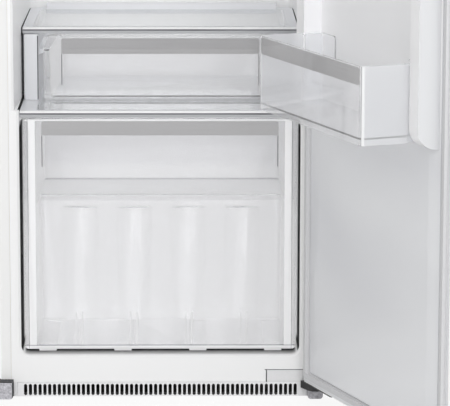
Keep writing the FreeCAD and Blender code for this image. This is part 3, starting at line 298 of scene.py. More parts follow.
# Insulation: rigid polyurethane foam, blown between casing and liner, seen only at the machine room.
# Its cut or skinned face is cream coloured with a fine closed-cell texture.
cell_size = 0.0025
foam, tree, place = surface("polyurethane_foam")
cells = add(tree, "ShaderNodeTexVoronoi", {"Scale": 1 / cell_size}, {"Vector": (place, "Object")})
tone = add(tree, "ShaderNodeValToRGB", {"stops": ("#D9C99A", "#E9DDB6")}, {"Fac": (cells, "Distance")})
bump = add(tree, "ShaderNodeBump", {"Strength": 0.5, "Distance": 0.0004}, {"Height": (cells, "Distance")})
body = add(tree, "ShaderNodeBsdfPrincipled", {"Roughness": 0.85},
           {"Base Color": (tone, "Color"), "Normal": (bump, "Normal")})
add(tree, "ShaderNodeOutputMaterial", {}, {"Surface": (body, "BSDF")})
dress(foam, "insulation", "door_insulation")

# Grille, control housing and guide frames: injection-moulded ABS, white or a very pale grey.
# The mould leaves a very fine even grain, so the plastic is satin and a shade greyer than the liner.
# A painted shade line runs down the front of each guide frame, beside the drawer.
abs_grain_size = 0.0007
abs_flow_size = 0.12
guide_low, guide_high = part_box("guide_frame_right")


def moulded_abs(name, low, high):
    """ABS between two colours, with a painted shade line down the front of the guide frames."""
    plastic, tree, place = surface(name)
    at = axes(tree, place)
    grain = add(tree, "ShaderNodeTexNoise", {"Scale": 1 / abs_grain_size, "Detail": 1.0},
                {"Vector": (place, "Object")})
    flow = add(tree, "ShaderNodeTexNoise", {"Scale": 1 / abs_flow_size, "Detail": 1.0},
               {"Vector": (place, "Object")})
    tone = add(tree, "ShaderNodeValToRGB", {"stops": (low, high)}, {"Fac": (flow, "Fac")})
    # a painted shade line for the shaded gap between guide frame and drawer
    joint = within(tree, at, (
        ("aside", guide_low.x + 0.0120, guide_low.x + 0.0142), ("y", None, guide_low.y + 0.0025),
        ("z", guide_low.z + 0.0007, guide_high.z - 0.0027)))
    tone = add(tree, "ShaderNodeMix", {"data_type": "RGBA", mix_b: linear("#4A4A4F")},
               {mix_factor: joint, mix_a: (tone, "Color")})
    bump = add(tree, "ShaderNodeBump", {"Strength": 0.1, "Distance": 0.00003}, {"Height": (grain, "Fac")})
    body = add(tree, "ShaderNodeBsdfPrincipled", {"Roughness": 0.34, "IOR": 1.52},
               {"Base Color": (tone, mix_result), "Normal": (bump, "Normal")})
    add(tree, "ShaderNodeOutputMaterial", {}, {"Surface": (body, "BSDF")})
    return plastic


white_abs = moulded_abs("moulded_white_abs", "#EBEBEC", "#F0F0F1")
pale_abs = moulded_abs("moulded_pale_grey_abs", "#DEDFE2", "#E4E5E8")
dress(white_abs, "ventilation_grille", eased("control_housing", 0.0012), eased("button_cooling", 0.0008),
      eased("button_temperature", 0.0008))
dress(pale_abs, eased("guide_frame_left", 0.0008), eased("guide_frame_right", 0.0008))

# Blank ends: short plain strips of the same white plastic that close the plinth beside the slotted
# grille. Each is clipped between the grille's end and a corner bracket, and its edges are rounded.
grille_low, grille_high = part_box("ventilation_grille")
blank_inner = grille_high.x + 0.0003
blank_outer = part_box("corner_bracket_right")[0].x - 0.0004
blank_front = 0.0003
blank_back = 0.0018
blank_bottom = grille_low.z
blank_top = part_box("inner_liner")[0].z
for name, way in (("grille_end_left", -1), ("grille_end_right", 1)):
    work = bmesh.new()
    corners = [(way * x, y, z) for x in (blank_inner, blank_outer) for y in (blank_front, blank_back)
               for z in (blank_bottom, blank_top)]
    spots = [work.verts.new(corner) for corner in corners]
    for face in ((0, 1, 3, 2), (4, 6, 7, 5), (0, 4, 5, 1), (2, 3, 7, 6), (0, 2, 6, 4), (1, 5, 7, 3)):
        work.faces.new([spots[i] for i in face])
    bmesh.ops.recalc_face_normals(work, faces=work.faces)
    bmesh.ops.bevel(work, geom=work.edges, offset=0.0004, segments=2, affect="EDGES", profile=0.5)
    strip = piece_from(work, name)
    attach(strip, "cabinet")
    dress(white_abs, strip)

# Shelves: a moulded pale grey frame that snaps round a pane of toughened float glass let into its top.
# The glass is clear with a slight green in its depth, and its faces are very slightly rippled.


def let_light_through(tree, shader, share):
    """Lets lamp light and bounced light straight through a thin clear wall, as a real one does."""
    rays = add(tree, "ShaderNodeLightPath")
    light = joined(tree, "MAXIMUM", ((rays, "Is Shadow Ray"), (rays, "Is Diffuse Ray")))
    passed = add(tree, "ShaderNodeMath", {"operation": "MULTIPLY", 1: share}, {0: light})
    clear = add(tree, "ShaderNodeBsdfTransparent")
    mixed = add(tree, "ShaderNodeMixShader", {},
                {0: (passed, "Value"), 1: (shader, "BSDF"), 2: (clear, "BSDF")})
    add(tree, "ShaderNodeOutputMaterial", {}, {"Surface": (mixed, "Shader")})


ripple_size = 0.06
float_glass, tree, place = surface("toughened_float_glass")
ripple = add(tree, "ShaderNodeTexNoise", {"Scale": 1 / ripple_size, "Detail": 0.0},
             {"Vector": (place, "Object")})
bump = add(tree, "ShaderNodeBump", {"Strength": 0.02, "Distance": 0.0001}, {"Height": (ripple, "Fac")})
pane = add(tree, "ShaderNodeBsdfPrincipled",
           {"Base Color": linear("#F3F5F6"), "Roughness": 0.02, "IOR": 1.5, "Transmission Weight": 1.0},
           {"Normal": (bump, "Normal")})
let_light_through(tree, pane, share=0.97)
shelves = ("middle_shelf", "top_shelf", "upper_shelf_a", "upper_shelf_b", "upper_shelf_c")
for shelf in shelves:
    dress(pale_abs, eased(shelf + "_frame", 0.0009, segments=3))
    dress(float_glass, shelf + "_glass")

# Shelf trims: a clear-lacquered silver strip snapped over each frame's front edge, with a white bead on
# top and a fine groove under the bead. The strip mirrors softly; the groove carries painted shade.
streak_length = 0.15
streak_width = 0.0007
silver_trim, tree, place = surface("lacquered_silver_strip")
along = add(tree, "ShaderNodeMapping", {"Scale": (1 / streak_length, 1 / streak_width, 1 / streak_width)},
            {"Vector": (place, "Object")})
streak = add(tree, "ShaderNodeTexNoise", {"Scale": 1.0, "Detail": 2.0}, {"Vector": (along, "Vector")})
tone = add(tree, "ShaderNodeValToRGB", {"stops": ("#A3A4A7", "#B9BABD")}, {"Fac": (streak, "Fac")})
lacquer = add(tree, "ShaderNodeBsdfPrincipled", {"Metallic": 0.25, "Roughness": 0.28},
              {"Base Color": (tone, "Color")})
add(tree, "ShaderNodeOutputMaterial", {}, {"Surface": (lacquer, "BSDF")})
patch_length = 0.11
patch_width = 0.01
# painted shade in the groove under the bead
groove_shade, tree, place = surface("groove_in_strip")
along = add(tree, "ShaderNodeMapping", {"Scale": (1 / patch_length, 1 / patch_width, 1 / patch_width)},
            {"Vector": (place, "Object")})
patch = add(tree, "ShaderNodeTexNoise", {"Scale": 1.0, "Detail": 0.0}, {"Vector": (along, "Vector")})
tone = add(tree, "ShaderNodeValToRGB", {"stops": ("#3A3B40", "#8E8F94")}, {"Fac": (patch, "Fac")})
painted_groove_shade = add(tree, "ShaderNodeBsdfPrincipled", {"Roughness": 0.7}, {"Base Color": (tone, "Color")})
add(tree, "ShaderNodeOutputMaterial", {}, {"Surface": (painted_groove_shade, "BSDF")})
silver = 0
groove = 1
bead = 2
strip_profile = (  # out from the frame's front, down from the glass's top, and the slot of the next face
    (0.0009, 0.0107, silver), (0.0009, 0.0059, groove), (0.0001, 0.0056, groove), (0.0001, 0.0036, groove),
    (0.0010, 0.0034, bead), (0.0013, 0.0022, bead), (0.0010, 0.0009, bead), (0.0002, 0.0001, bead),
    (-0.0012, -0.0003, bead), (-0.0046, -0.0004, bead), (-0.0052, 0.0001, bead), (-0.0052, 0.0008, bead),
    (-0.0003, 0.0046, silver), (-0.0003, 0.0107, silver))
strip_end_gap = 0.0006
for shelf in shelves:
    low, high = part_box(shelf + "_frame")
    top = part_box(shelf + "_glass")[1].z
    work = bmesh.new()
    ends = []
    for x in (low.x + strip_end_gap, high.x - strip_end_gap):
        ends.append([work.verts.new((x, low.y - out, top - down)) for out, down, slot in strip_profile])
    for i, (out, down, slot) in enumerate(strip_profile):
        after = (i + 1) % len(strip_profile)
        face = work.faces.new((ends[0][i], ends[0][after], ends[1][after], ends[1][i]))
        face.material_index = slot
        face.smooth = True
    work.faces.new(ends[0])
    work.faces.new(ends[1][::-1])
    bmesh.ops.recalc_face_normals(work, faces=work.faces)
    trim = piece_from(work, shelf + "_trim")
    trim.data.set_sharp_from_angle(angle=0.6)
    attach(trim, "cabinet")
    dress((silver_trim, groove_shade, white_abs), trim)

# Drawers and bins: injection-moulded clear polystyrene, with walls 2.4 mm thick. The moulding is glossy
# and faintly milky, and its edges gather the light into bright lines.
flow_mark_size = 0.05


def flow_marks(tree, place):
    """The broad, very faint waves that molten plastic leaves on a polished face."""
    flow = add(tree, "ShaderNodeTexNoise", {"Scale": 1 / flow_mark_size, "Detail": 0.0},
               {"Vector": (place, "Object")})
    return add(tree, "ShaderNodeBump", {"Strength": 0.03, "Distance": 0.0001}, {"Height": (flow, "Fac")})


clear_styrene, tree, place = surface("moulded_clear_polystyrene")
moulding = add(tree, "ShaderNodeBsdfPrincipled",
               {"Base Color": linear("#FCFCFD"), "Roughness": 0.06, "IOR": 1.45, "Transmission Weight": 0.9},
               {"Normal": (flow_marks(tree, place), "Normal")})
let_light_through(tree, moulding, share=0.95)

# The drawers' side walls and the crisper's ledge: the same moulding, textured in the mould, so that they
# spread the light and look whiter than the fronts.
texture_size = 0.0012


def mould_texture(tree, place):
    """The fine even texture that an etched mould leaves on a face."""
    texture = add(tree, "ShaderNodeTexNoise", {"Scale": 1 / texture_size, "Detail": 2.0},
                  {"Vector": (place, "Object")})
    return add(tree, "ShaderNodeBump", {"Strength": 0.12, "Distance": 0.0001}, {"Height": (texture, "Fac")})


frosted_styrene, tree, place = surface("texture_moulded_polystyrene")
frosted = add(tree, "ShaderNodeBsdfPrincipled",
              {"Base Color": linear("#FDFDFD"), "Roughness": 0.25, "IOR": 1.45, "Transmission Weight": 0.12},
              {"Normal": (mould_texture(tree, place), "Normal")})
let_light_through(tree, frosted, share=0.9)

# Crisper and upper drawer: each one moulding, sliding on the liner's runners or in the guide frames. The
# crisper's front carries a bright textured edge all round with a fine grey line beside it, and another
# such line runs along its back just over the ledge.
edged_styrene, tree, place = surface("clear_polystyrene_with_textured_edge")
at = axes(tree, place)
front = ("y", None, crisper_low.y + 0.0025)
behind = ("y", crisper_high.y - 0.020, None)
over_ledge = ("z", 0.3150, 0.3185)
edge = joined(tree, "MAXIMUM", [within(tree, at, (front, band)) for band in (
    ("aside", crisper_high.x - 0.0207, crisper_high.x - 0.0084),
    ("z", crisper_low.z - 0.0005, crisper_low.z + 0.0091),
    ("z", crisper_high.z - 0.0032, crisper_high.z + 0.0004))])
line = joined(tree, "MAXIMUM", [within(tree, at, places) for places in (
    (front, ("aside", crisper_high.x - 0.0082, crisper_high.x - 0.0075)),
    (front, ("z", crisper_low.z + 0.0093, crisper_low.z + 0.0107)),
    (behind, over_ledge))])
tone = add(tree, "ShaderNodeMix", {"data_type": "RGBA", mix_a: linear("#FCFCFD"), mix_b: linear("#A9AAAE")},
           {mix_factor: line})
clear = add(tree, "ShaderNodeMapRange", {"To Min": 0.9, "To Max": 0.35}, {"Value": edge})
gloss = add(tree, "ShaderNodeMapRange", {"To Min": 0.06, "To Max": 0.25}, {"Value": edge})
moulding = add(tree, "ShaderNodeBsdfPrincipled", {"IOR": 1.45},
               {"Base Color": (tone, mix_result), "Normal": (flow_marks(tree, place), "Normal"),
                "Transmission Weight": (clear, "Result"), "Roughness": (gloss, "Result")})
let_light_through(tree, moulding, share=0.95)
square_on = 0.9
side_wall_inner = 0.18
side_wall_outer = 0.2295
ledge_bottom = 0.30
ledge_top = 0.32


def textured(centre, normal):
    """Picks a drawer's side walls and the crisper's ledge."""
    side_wall = abs(normal.x) > square_on and side_wall_inner < abs(centre.x) < side_wall_outer
    ledge = normal.z > square_on and ledge_bottom < centre.z < ledge_top
    return side_wall or ledge


dress((edged_styrene, frosted_styrene), eased("crisper_box", 0.0006, second=textured))
dress((clear_styrene, frosted_styrene), eased("upper_drawer_box", 0.0006, second=textured))

# Floor ribs: four pairs of low stiffening ribs moulded along the crisper's floor, rising to the flutes in
# its back. They carry the texture of the side walls, and so show as pairs of bright lines.
rib_middles = (-0.1436, -0.0474, 0.0491, 0.1450)
rib_sides = ((-0.0063, -0.0051), (0.0046, 0.0070))
rib_draft = 0.0003
rib_ends = ((0.030, 0.0008, 0.0), (0.290, 0.0110, 0.052))  # how far back, how high, how far splayed
tub_floor = crisper_low.z + 0.0063
work = bmesh.new()
for middle in rib_middles:
    for left, right in rib_sides:
        rings = []
        for back, rise, splay in rib_ends:
            across = middle * (1 + splay)
            outline = ((left - rib_draft, 0.0), (left, rise), (right, rise), (right + rib_draft, 0.0))
            rings.append([work.verts.new((across + aside, back, tub_floor + up)) for aside, up in outline])
        for i in range(4):
            after = (i + 1) % 4
            work.faces.new((rings[0][i], rings[0][after], rings[1][after], rings[1][i]))
        work.faces.new(rings[0])
        work.faces.new(rings[1][::-1])
bmesh.ops.recalc_face_normals(work, faces=work.faces)
ribs = piece_from(work, "crisper_floor_ribs")
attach(ribs, "crisper")
dress(frosted_styrene, ribs)

# Door liner: one sheet of the same white polystyrene, vacuum formed together with its two stiles. It is
# satin and its broad faces are very slightly wavy. Painted light whitens it above the lowest bin and on
# the stiles' fronts, and a painted reflection slants across its face. The stiles' flanks carry painted
# light near the hinge and painted shade towards the outer edge.

# The door stands open by as much as its joint can close it, which gives the way along the door, from the
# hinge outward, and the way out of its inner face.
hinge = next(joint for joint in frame["joints"] if joint["name"] == "door_hinge")
swing = Matrix.Rotation(-math.radians(hinge["range_deg"][0]), 3, "Z")
door_along = swing @ Vector((-1.0, 0.0, 0.0))
door_out = swing @ Vector((0.0, 1.0, 0.0))
stile_front = max(vertex.co.dot(door_out) for vertex in frame["nodes"]["door_liner"].data.vertices)
wave_size = 0.09
painted_reflection_size = 0.35
styrene, tree, place = surface("thermoformed_polystyrene")
at = axes(tree, place)
wave = add(tree, "ShaderNodeTexNoise", {"Scale": 1 / wave_size, "Detail": 0.0}, {"Vector": (place, "Object")})
grain = add(tree, "ShaderNodeTexNoise", {"Scale": 1 / sheet_grain_size, "Detail": 1.0},
            {"Vector": (place, "Object")})
broad = add(tree, "ShaderNodeBump", {"Strength": 0.35, "Distance": 0.0006}, {"Height": (wave, "Fac")})
bump = add(tree, "ShaderNodeBump", {"Strength": 0.08, "Distance": 0.00003},
           {"Height": (grain, "Fac"), "Normal": (broad, "Normal")})
# a slanted cloud of tone: a painted soft reflection across the door's face
reflection_slant = add(tree, "ShaderNodeMapping", {"Rotation": (0.0, 0.6, 0.0), "Scale": (0.4, 1.0, 2.2)},
            {"Vector": (place, "Object")})
cloud = add(tree, "ShaderNodeTexNoise", {"Scale": 1 / painted_reflection_size, "Detail": 0.5},
            {"Vector": (reflection_slant, "Vector")})
tone = add(tree, "ShaderNodeValToRGB", {"stops": ("#E2E3E6", "#ECEDEF")}, {"Fac": (cloud, "Fac")})
tone.color_ramp.elements[0].position = 0.35
tone.color_ramp.elements[1].position = 0.65
# painted light: the door is whitened above the lowest bin and on the stiles' fronts
high = add(tree, "ShaderNodeMapRange", {"From Min": 0.50, "From Max": 0.66, "To Max": 0.85},
           {"Value": at["z"]})
depth = add(tree, "ShaderNodeVectorMath", {"operation": "DOT_PRODUCT", 1: door_out}, {0: (place, "Object")})
painted_light_on_stile_fronts = add(tree, "ShaderNodeMapRange", {"From Min": stile_front - 0.016, "From Max": stile_front - 0.008},
            {"Value": (depth, "Value")})
painted_light_on_door = joined(tree, "MAXIMUM", ((high, "Result"), (painted_light_on_stile_fronts, "Result")))
tone = add(tree, "ShaderNodeMix", {"data_type": "RGBA", mix_b: linear("#FDFDFE")},
           {mix_factor: painted_light_on_door, mix_a: (tone, "Color")})
# painted light and shade on the stiles' flanks: lighter near the hinge, darker towards the outer edge
across = add(tree, "ShaderNodeVectorMath", {"operation": "DOT_PRODUCT", 1: door_along},
             {0: (place, "Object")})
outer = add(tree, "ShaderNodeMapRange", {"From Min": 0.40, "From Max": 0.46}, {"Value": (across, "Value")})
painted_flank_light_and_shade = add(tree, "ShaderNodeMix",
                 {"data_type": "RGBA", mix_a: linear("#F8F8FA"), mix_b: linear("#D9DADC")},
                 {mix_factor: (outer, "Result")})
facing = add(tree, "ShaderNodeVectorMath", {"operation": "DOT_PRODUCT", 1: door_along},
             {0: (place, "Normal")})
flank = add(tree, "ShaderNodeMapRange", {"From Min": 0.35, "From Max": 0.80}, {"Value": (facing, "Value")})
tone = add(tree, "ShaderNodeMix", {"data_type": "RGBA"},
           {mix_factor: (flank, "Result"), mix_a: (tone, mix_result), mix_b: (painted_flank_light_and_shade, mix_result)})
sheet = add(tree, "ShaderNodeBsdfPrincipled", {"Roughness": 0.32, "IOR": 1.59},
            {"Base Color": (tone, mix_result), "Normal": (bump, "Normal")})
add(tree, "ShaderNodeOutputMaterial", {}, {"Surface": (sheet, "BSDF")})
dress(styrene, eased("door_liner", 0.0012, segments=3))

# Door bins: clear polystyrene, hung on pegs in the stiles. Their ends have a light satin texture, so the
# door shows through them softly. Along the front corner a painted highlight turns the wall white, with a
# fine dark line where the front face begins.
bin_front = max(vertex.co.dot(door_out) for vertex in frame["nodes"]["bottle_bin"].data.vertices)
satin_styrene, tree, place = surface("satin_moulded_polystyrene")
depth = add(tree, "ShaderNodeVectorMath", {"operation": "DOT_PRODUCT", 1: door_out}, {0: (place, "Object")})
# painted highlight: towards the front corner each bin end turns white and less clear
corner = add(tree, "ShaderNodeMapRange", {"From Min": bin_front - 0.0075, "From Max": bin_front - 0.0055},
             {"Value": (depth, "Value")})
tone = add(tree, "ShaderNodeMix", {"data_type": "RGBA", mix_a: linear("#EEEFF1"), mix_b: linear("#ECEDEE")},
           {mix_factor: (corner, "Result")})
edge = add(tree, "ShaderNodeMapRange", {"From Min": bin_front - 0.0028, "From Max": bin_front - 0.0020},
           {"Value": (depth, "Value")})
tone = add(tree, "ShaderNodeMix", {"data_type": "RGBA", mix_b: linear("#646568")},
           {mix_factor: (edge, "Result"), mix_a: (tone, mix_result)})
clear = add(tree, "ShaderNodeMapRange", {"To Min": 0.68, "To Max": 0.1}, {"Value": (corner, "Result")})
satin = add(tree, "ShaderNodeBsdfPrincipled", {"Roughness": 0.3, "IOR": 1.4},
            {"Base Color": (tone, mix_result), "Transmission Weight": (clear, "Result"),
             "Normal": (mould_texture(tree, place), "Normal")})
let_light_through(tree, satin, share=0.9)
outer_end_slant = 0.6
inner_end_slant = -0.9


def bin_end(centre, normal):
    """Picks a bin's two ends by the way they face, the outer one together with its rounded corner."""
    return normal.dot(door_along) > outer_end_slant or normal.dot(door_along) < inner_end_slant


bins = ("bottle_bin", "door_bin_a", "door_bin_b", "door_bin_c")
for name in bins:
    dress((clear_styrene, satin_styrene), eased(name, 0.0006, second=bin_end))

# Bands: a strip of grey tinted film, printed with a fine horizontal brushing, bonded behind each front.
# It reads as a satin grey strip through the clear plastic. The drawers' strips end in two narrow legs,
# which are coloured dark.
brush_length = 0.12
brush_width = 0.0008
crisper_band_low, crisper_band_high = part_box("crisper_band")
drawer_band_low, drawer_band_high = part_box("upper_drawer_band")
leg_heights = ((crisper_band_low.z - 0.008, crisper_band_high.z - 0.0255),
               (drawer_band_low.z - 0.011, drawer_band_high.z - 0.0285))


def brushed_film(name, low, high, dark_heights=()):
    """Brushed film between two colours, dark between each pair of heights."""
    film, tree, place = surface(name)
    at = axes(tree, place)
    along = add(tree, "ShaderNodeMapping", {"Scale": (1 / brush_length, 1 / brush_length, 1 / brush_width)},
                {"Vector": (place, "Object")})
    brushing = add(tree, "ShaderNodeTexNoise", {"Scale": 1.0, "Detail": 2.0}, {"Vector": (along, "Vector")})
    tone = (add(tree, "ShaderNodeValToRGB", {"stops": (low, high)}, {"Fac": (brushing, "Fac")}), "Color")
    for bottom, top in dark_heights:
        leg = within(tree, at, (("z", bottom, top),))
        dark = add(tree, "ShaderNodeMix", {"data_type": "RGBA", mix_b: linear("#46474A")},
                   {mix_factor: leg, mix_a: tone})
        tone = (dark, mix_result)
    body = add(tree, "ShaderNodeBsdfPrincipled", {"Roughness": 0.35, "IOR": 1.5}, {"Base Color": tone})
    add(tree, "ShaderNodeOutputMaterial", {}, {"Surface": (body, "BSDF")})
    return film


dress(brushed_film("brushed_grey_film", "#B2B1B2", "#C0BFC0"), *[name + "_band" for name in bins])
dress(brushed_film("brushed_grey_film_with_dark_legs", "#A5A4A5", "#B3B2B3", leg_heights),
      "crisper_band", "upper_drawer_band")

# Door seal: extruded soft grey PVC with a magnetic strip inside, pushed into a groove in the door.
# It is matt and a little darker than the door's liner.
skin_size = 0.004
soft_pvc, tree, place = surface("extruded_soft_pvc")
skin = add(tree, "ShaderNodeTexNoise", {"Scale": 1 / skin_size, "Detail": 2.0}, {"Vector": (place, "Object")})
tone = add(tree, "ShaderNodeValToRGB", {"stops": ("#CFCFD1", "#D6D6D7")}, {"Fac": (skin, "Fac")})
bump = add(tree, "ShaderNodeBump", {"Strength": 0.15, "Distance": 0.0001}, {"Height": (skin, "Fac")})
vinyl = add(tree, "ShaderNodeBsdfPrincipled", {"Roughness": 0.55, "IOR": 1.53},
            {"Base Color": (tone, "Color"), "Normal": (bump, "Normal")})
add(tree, "ShaderNodeOutputMaterial", {}, {"Surface": (vinyl, "BSDF")})
dress(soft_pvc, eased("door_seal", 0.0008))

# Hinge plates and pins: steel, zinc plated to a dull light grey, pressed and screwed to the cabinet.
# The plating is soft and slightly uneven in its sheen.
sheen_size = 0.008
plated, tree, place = surface("zinc_plated_steel")
sheen = add(tree, "ShaderNodeTexNoise", {"Scale": 1 / sheen_size, "Detail": 3.0},
            {"Vector": (place, "Object")})
tone = add(tree, "ShaderNodeValToRGB", {"stops": ("#D6D6D7", "#E0E0E1")}, {"Fac": (sheen, "Fac")})
gloss = add(tree, "ShaderNodeMapRange", {"To Min": 0.42, "To Max": 0.55}, {"Value": (sheen, "Fac")})
metal = add(tree, "ShaderNodeBsdfPrincipled", {"Metallic": 0.35},
            {"Base Color": (tone, "Color"), "Roughness": (gloss, "Result")})
add(tree, "ShaderNodeOutputMaterial", {}, {"Surface": (metal, "BSDF")})
dress(plated, eased("lower_hinge_plate", 0.0004), eased("upper_hinge_plate", 0.0004), "hinge_pins")

# Hinge arms, hinge carriers and terminal box: black glass-filled nylon, moulded with a matt spark grain.
# It is nearly black and takes only a soft highlight along its edges.
spark_size = 0.0006
black_nylon, tree, place = surface("moulded_black_nylon")
spark = add(tree, "ShaderNodeTexNoise", {"Scale": 1 / spark_size, "Detail": 2.0},
            {"Vector": (place, "Object")})
tone = add(tree, "ShaderNodeValToRGB", {"stops": ("#1B1B1D", "#262628")}, {"Fac": (spark, "Fac")})
bump = add(tree, "ShaderNodeBump", {"Strength": 0.3, "Distance": 0.00006}, {"Height": (spark, "Fac")})
nylon = add(tree, "ShaderNodeBsdfPrincipled", {"Roughness": 0.5, "IOR": 1.53},
            {"Base Color": (tone, "Color"), "Normal": (bump, "Normal")})
add(tree, "ShaderNodeOutputMaterial", {}, {"Surface": (nylon, "BSDF")})
dress(black_nylon, eased("hinge_arms", 0.0006), eased("lower_hinge_carrier", 0.0005),
      eased("upper_hinge_carrier", 0.0005), eased("terminal_box", 0.001))

# Corner brackets, feet, front slides, drip tray and drain tube: grey polypropylene with a coarse mould
# grain, which breaks the surface into fine light and dark specks. Painted shade draws the left bracket's
# gaps against the casing as dark lines along its top and its inner edge.
speck_size = 0.0035
bracket_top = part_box("corner_bracket_left")[1].z
bracket_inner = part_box("corner_bracket_left")[1].x
grey_pp, tree, place = surface("grained_grey_polypropylene")
at = axes(tree, place)
specks = add(tree, "ShaderNodeTexNoise", {"Scale": 1 / speck_size, "Detail": 3.0},
             {"Vector": (place, "Object")})
tone = add(tree, "ShaderNodeValToRGB", {"stops": ("#9A999E", "#D2D1D6")}, {"Fac": (specks, "Fac")})
tone.color_ramp.elements[0].position = 0.3
tone.color_ramp.elements[1].position = 0.7
# painted shade in the gaps between the left bracket and the casing
top_gap_shade = within(tree, at, (("z", bracket_top - 0.0014, None), ("y", None, 0.004)))
inner_gap_shade = within(tree, at, (("x", bracket_inner - 0.0018, bracket_inner + 0.0006),))
joint = joined(tree, "MAXIMUM", (top_gap_shade, inner_gap_shade))
tone = add(tree, "ShaderNodeMix", {"data_type": "RGBA", mix_b: linear("#242428")},
           {mix_factor: joint, mix_a: (tone, "Color")})
bump = add(tree, "ShaderNodeBump", {"Strength": 0.5, "Distance": 0.0002}, {"Height": (specks, "Fac")})
grained = add(tree, "ShaderNodeBsdfPrincipled", {"Roughness": 0.55, "IOR": 1.49},
              {"Base Color": (tone, mix_result), "Normal": (bump, "Normal")})
add(tree, "ShaderNodeOutputMaterial", {}, {"Surface": (grained, "BSDF")})
dress(grey_pp, eased("corner_bracket_left", 0.0012), eased("corner_bracket_right", 0.0012), "feet",
      "front_slides", eased("drip_tray", 0.0008), "drain_tube")

# Lamp cover: opal polycarbonate, snapped into the control housing over the lamp.
# It is frosted, so the lamp behind it never shows as a point.
frost_size = 0.0008
opal, tree, place = surface("opal_polycarbonate")
frost = add(tree, "ShaderNodeTexNoise", {"Scale": 1 / frost_size, "Detail": 1.0},
            {"Vector": (place, "Object")})
gloss = add(tree, "ShaderNodeMapRange", {"To Min": 0.4, "To Max": 0.55}, {"Value": (frost, "Fac")})
cover = add(tree, "ShaderNodeBsdfPrincipled",
            {"Base Color": linear("#F4F4F0"), "IOR": 1.58, "Transmission Weight": 0.4},
            {"Roughness": (gloss, "Result")})
add(tree, "ShaderNodeOutputMaterial", {}, {"Surface": (cover, "BSDF")})
dress(opal, eased("lamp_cover", 0.0008))

# Compressor, condenser and base tray: steel, dip painted black before they are bolted on.
# The enamel pools slightly and stays satin.
pool_size = 0.015
enamel, tree, place = surface("black_dip_enamel")
pool = add(tree, "ShaderNodeTexNoise", {"Scale": 1 / pool_size, "Detail": 2.0}, {"Vector": (place, "Object")})
tone = add(tree, "ShaderNodeValToRGB", {"stops": ("#161617", "#202022")}, {"Fac": (pool, "Fac")})
gloss = add(tree, "ShaderNodeMapRange", {"To Min": 0.28, "To Max": 0.42}, {"Value": (pool, "Fac")})
dip = add(tree, "ShaderNodeBsdfPrincipled", {"IOR": 1.5},
          {"Base Color": (tone, "Color"), "Roughness": (gloss, "Result")})
add(tree, "ShaderNodeOutputMaterial", {}, {"Surface": (dip, "BSDF")})
dress(enamel, "compressor", "condenser", "base_tray")

# Compressor mounts: moulded black rubber buffers, pressed between the compressor's foot and the tray.
# They are matt and slightly dusty.
dust_size = 0.003
rubber, tree, place = surface("moulded_rubber")
dust = add(tree, "ShaderNodeTexNoise", {"Scale": 1 / dust_size, "Detail": 3.0}, {"Vector": (place, "Object")})
tone = add(tree, "ShaderNodeValToRGB", {"stops": ("#1C1C1C", "#2C2B2A")}, {"Fac": (dust, "Fac")})
buffer = add(tree, "ShaderNodeBsdfPrincipled", {"Roughness": 0.8}, {"Base Color": (tone, "Color")})
add(tree, "ShaderNodeOutputMaterial", {}, {"Surface": (buffer, "BSDF")})
dress(rubber, "compressor_mounts")

# Filter dryer: a cartridge of drawn copper, brazed into the pipes in the machine room.
# The copper is dulled unevenly by the heat of the brazing.
heat_size = 0.02
copper, tree, place = surface("drawn_copper")
heat = add(tree, "ShaderNodeTexNoise", {"Scale": 1 / heat_size, "Detail": 3.0}, {"Vector": (place, "Object")})
tone = add(tree, "ShaderNodeValToRGB", {"stops": ("#8E5236", "#C9805C")}, {"Fac": (heat, "Fac")})
pipe = add(tree, "ShaderNodeBsdfPrincipled", {"Metallic": 1.0, "Roughness": 0.35},
           {"Base Color": (tone, "Color")})
add(tree, "ShaderNodeOutputMaterial", {}, {"Surface": (pipe, "BSDF")})
dress(copper, "filter_dryer")

# Evaporator: two sheets of aluminium rolled together, with the channels blown up between them.
# It is bonded to the back of the liner, which hides it.
mill_size = 0.01
rolled, tree, place = surface("rolled_aluminium")
mill = add(tree, "ShaderNodeTexNoise", {"Scale": 1 / mill_size, "Detail": 2.0}, {"Vector": (place, "Object")})
gloss = add(tree, "ShaderNodeMapRange", {"To Min": 0.3, "To Max": 0.45}, {"Value": (mill, "Fac")})
plate = add(tree, "ShaderNodeBsdfPrincipled", {"Base Color": linear("#C9CBCD"), "Metallic": 1.0},
            {"Roughness": (gloss, "Result")})
add(tree, "ShaderNodeOutputMaterial", {}, {"Surface": (plate, "BSDF")})
dress(rolled, "evaporator_plate")

# Floor: a wide pale studio floor that keeps the contact shadow. To the camera and in reflections it is
# lifted to white, except under the cabinet, where it stays as dark as the light leaves it.


def seen_directly(tree):
    """Full for rays from the camera, in reflections and through clear walls, and none for other light."""
    rays = add(tree, "ShaderNodeLightPath")
    return joined(tree, "MAXIMUM", (
        (rays, "Is Camera Ray"), (rays, "Is Glossy Ray"), (rays, "Is Transmission Ray")))


half = 14.0
cabinet_side = 0.270
cabinet_front = 0.003
cabinet_back = 0.490
floor_mesh = bpy.data.meshes.new("floor")
floor_mesh.from_pydata([(-half, -half, 0), (half, -half, 0), (half, half, 0), (-half, half, 0)], [],
                       [(0, 1, 2, 3)])
floor = bpy.data.objects.new("floor", floor_mesh)
bpy.context.scene.collection.objects.link(floor)
studio, tree, place = surface("studio_floor")
at = axes(tree, place)
covered = within(tree, at, (("aside", None, cabinet_side), ("y", cabinet_front, cabinet_back)))
uncovered = add(tree, "ShaderNodeMath", {"operation": "SUBTRACT", 0: 1.0}, {1: covered})
lifted = joined(tree, "MULTIPLY", (seen_directly(tree), (uncovered, "Value")))
lift = add(tree, "ShaderNodeMath", {"operation": "MULTIPLY", 1: 0.9}, {0: lifted})
paint = add(tree, "ShaderNodeBsdfPrincipled", {"Base Color": linear("#E4E4E4"), "Roughness": 0.8})
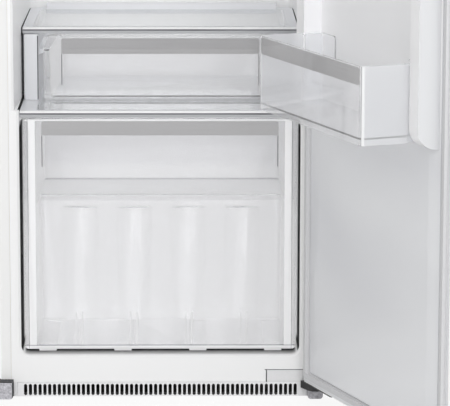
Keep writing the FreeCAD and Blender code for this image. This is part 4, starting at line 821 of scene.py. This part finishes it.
glow = add(tree, "ShaderNodeEmission", {"Color": (1, 1, 1, 1), "Strength": 1.0})
mixed = add(tree, "ShaderNodeMixShader", {}, {0: (lift, "Value"), 1: (paint, "BSDF"), 2: (glow, "Emission")})
add(tree, "ShaderNodeOutputMaterial", {}, {"Surface": (mixed, "Shader")})
dress(studio, floor)

# Studio light: an even pale surround, one wide soft panel in front of the cabinet, a little to its right,
# and a smaller one at the right. The refrigerator's own lamp shines down from behind its cover.
world = bpy.data.worlds.new("studio")
world.use_nodes = True
tree = world.node_tree
tree.nodes.clear()
level = add(tree, "ShaderNodeMapRange", {"To Min": 0.56, "To Max": 0.955}, {"Value": seen_directly(tree)})
sky = add(tree, "ShaderNodeBackground", {"Color": (1, 1, 1, 1)}, {"Strength": (level, "Result")})
add(tree, "ShaderNodeOutputWorld", {}, {"Surface": (sky, "Background")})
bpy.context.scene.world = world


def area_lamp(name, width, height, power, location):
    """A rectangular lamp, linked to the scene and facing straight down."""
    lamp = bpy.data.lights.new(name, "AREA")
    lamp.shape = "RECTANGLE"
    lamp.size = width
    lamp.size_y = height
    lamp.energy = power
    light = bpy.data.objects.new(name, lamp)
    light.location = location
    bpy.context.scene.collection.objects.link(light)
    return light


for name, width, height, power, location, aim in (
        ("front_panel", 3.6, 3.0, 90.0, Vector((0.1, -4.6, 2.2)), Vector((0.0, 0.0, 0.6))),
        ("side_panel", 2.4, 2.4, 19.0, Vector((2.1, -3.5, 1.6)), Vector((-0.1, 0.1, 0.6)))):
    light = area_lamp(name, width, height, power, location)
    light.rotation_euler = (aim - location).to_track_quat("-Z", "Y").to_euler()

cover_low, cover_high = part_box("lamp_cover")
cover_middle = (cover_low + cover_high) / 2
under_cover = (cover_middle.x, cover_middle.y, cover_low.z - 0.004)
light = area_lamp("interior_lamp", width=0.20, height=0.12, power=4.4, location=under_cover)
light.data.use_nodes = True
tree = light.data.node_tree
tree.nodes.clear()
even = add(tree, "ShaderNodeLightFalloff", {"Strength": 1.0, "Smooth": 1.5})
glow = add(tree, "ShaderNodeEmission", {"Color": (1, 1, 1, 1)}, {"Strength": (even, "Quadratic")})
add(tree, "ShaderNodeOutputLight", {}, {"Surface": (glow, "Emission")})

# Enough bounces for light to get through the drawers, bins and panes that stand one behind another.
bpy.context.scene.view_settings.view_transform = "Standard"
bpy.context.scene.cycles.max_bounces = 24
bpy.context.scene.cycles.diffuse_bounces = 8
bpy.context.scene.cycles.transmission_bounces = 24
bpy.context.scene.cycles.transparent_max_bounces = 40
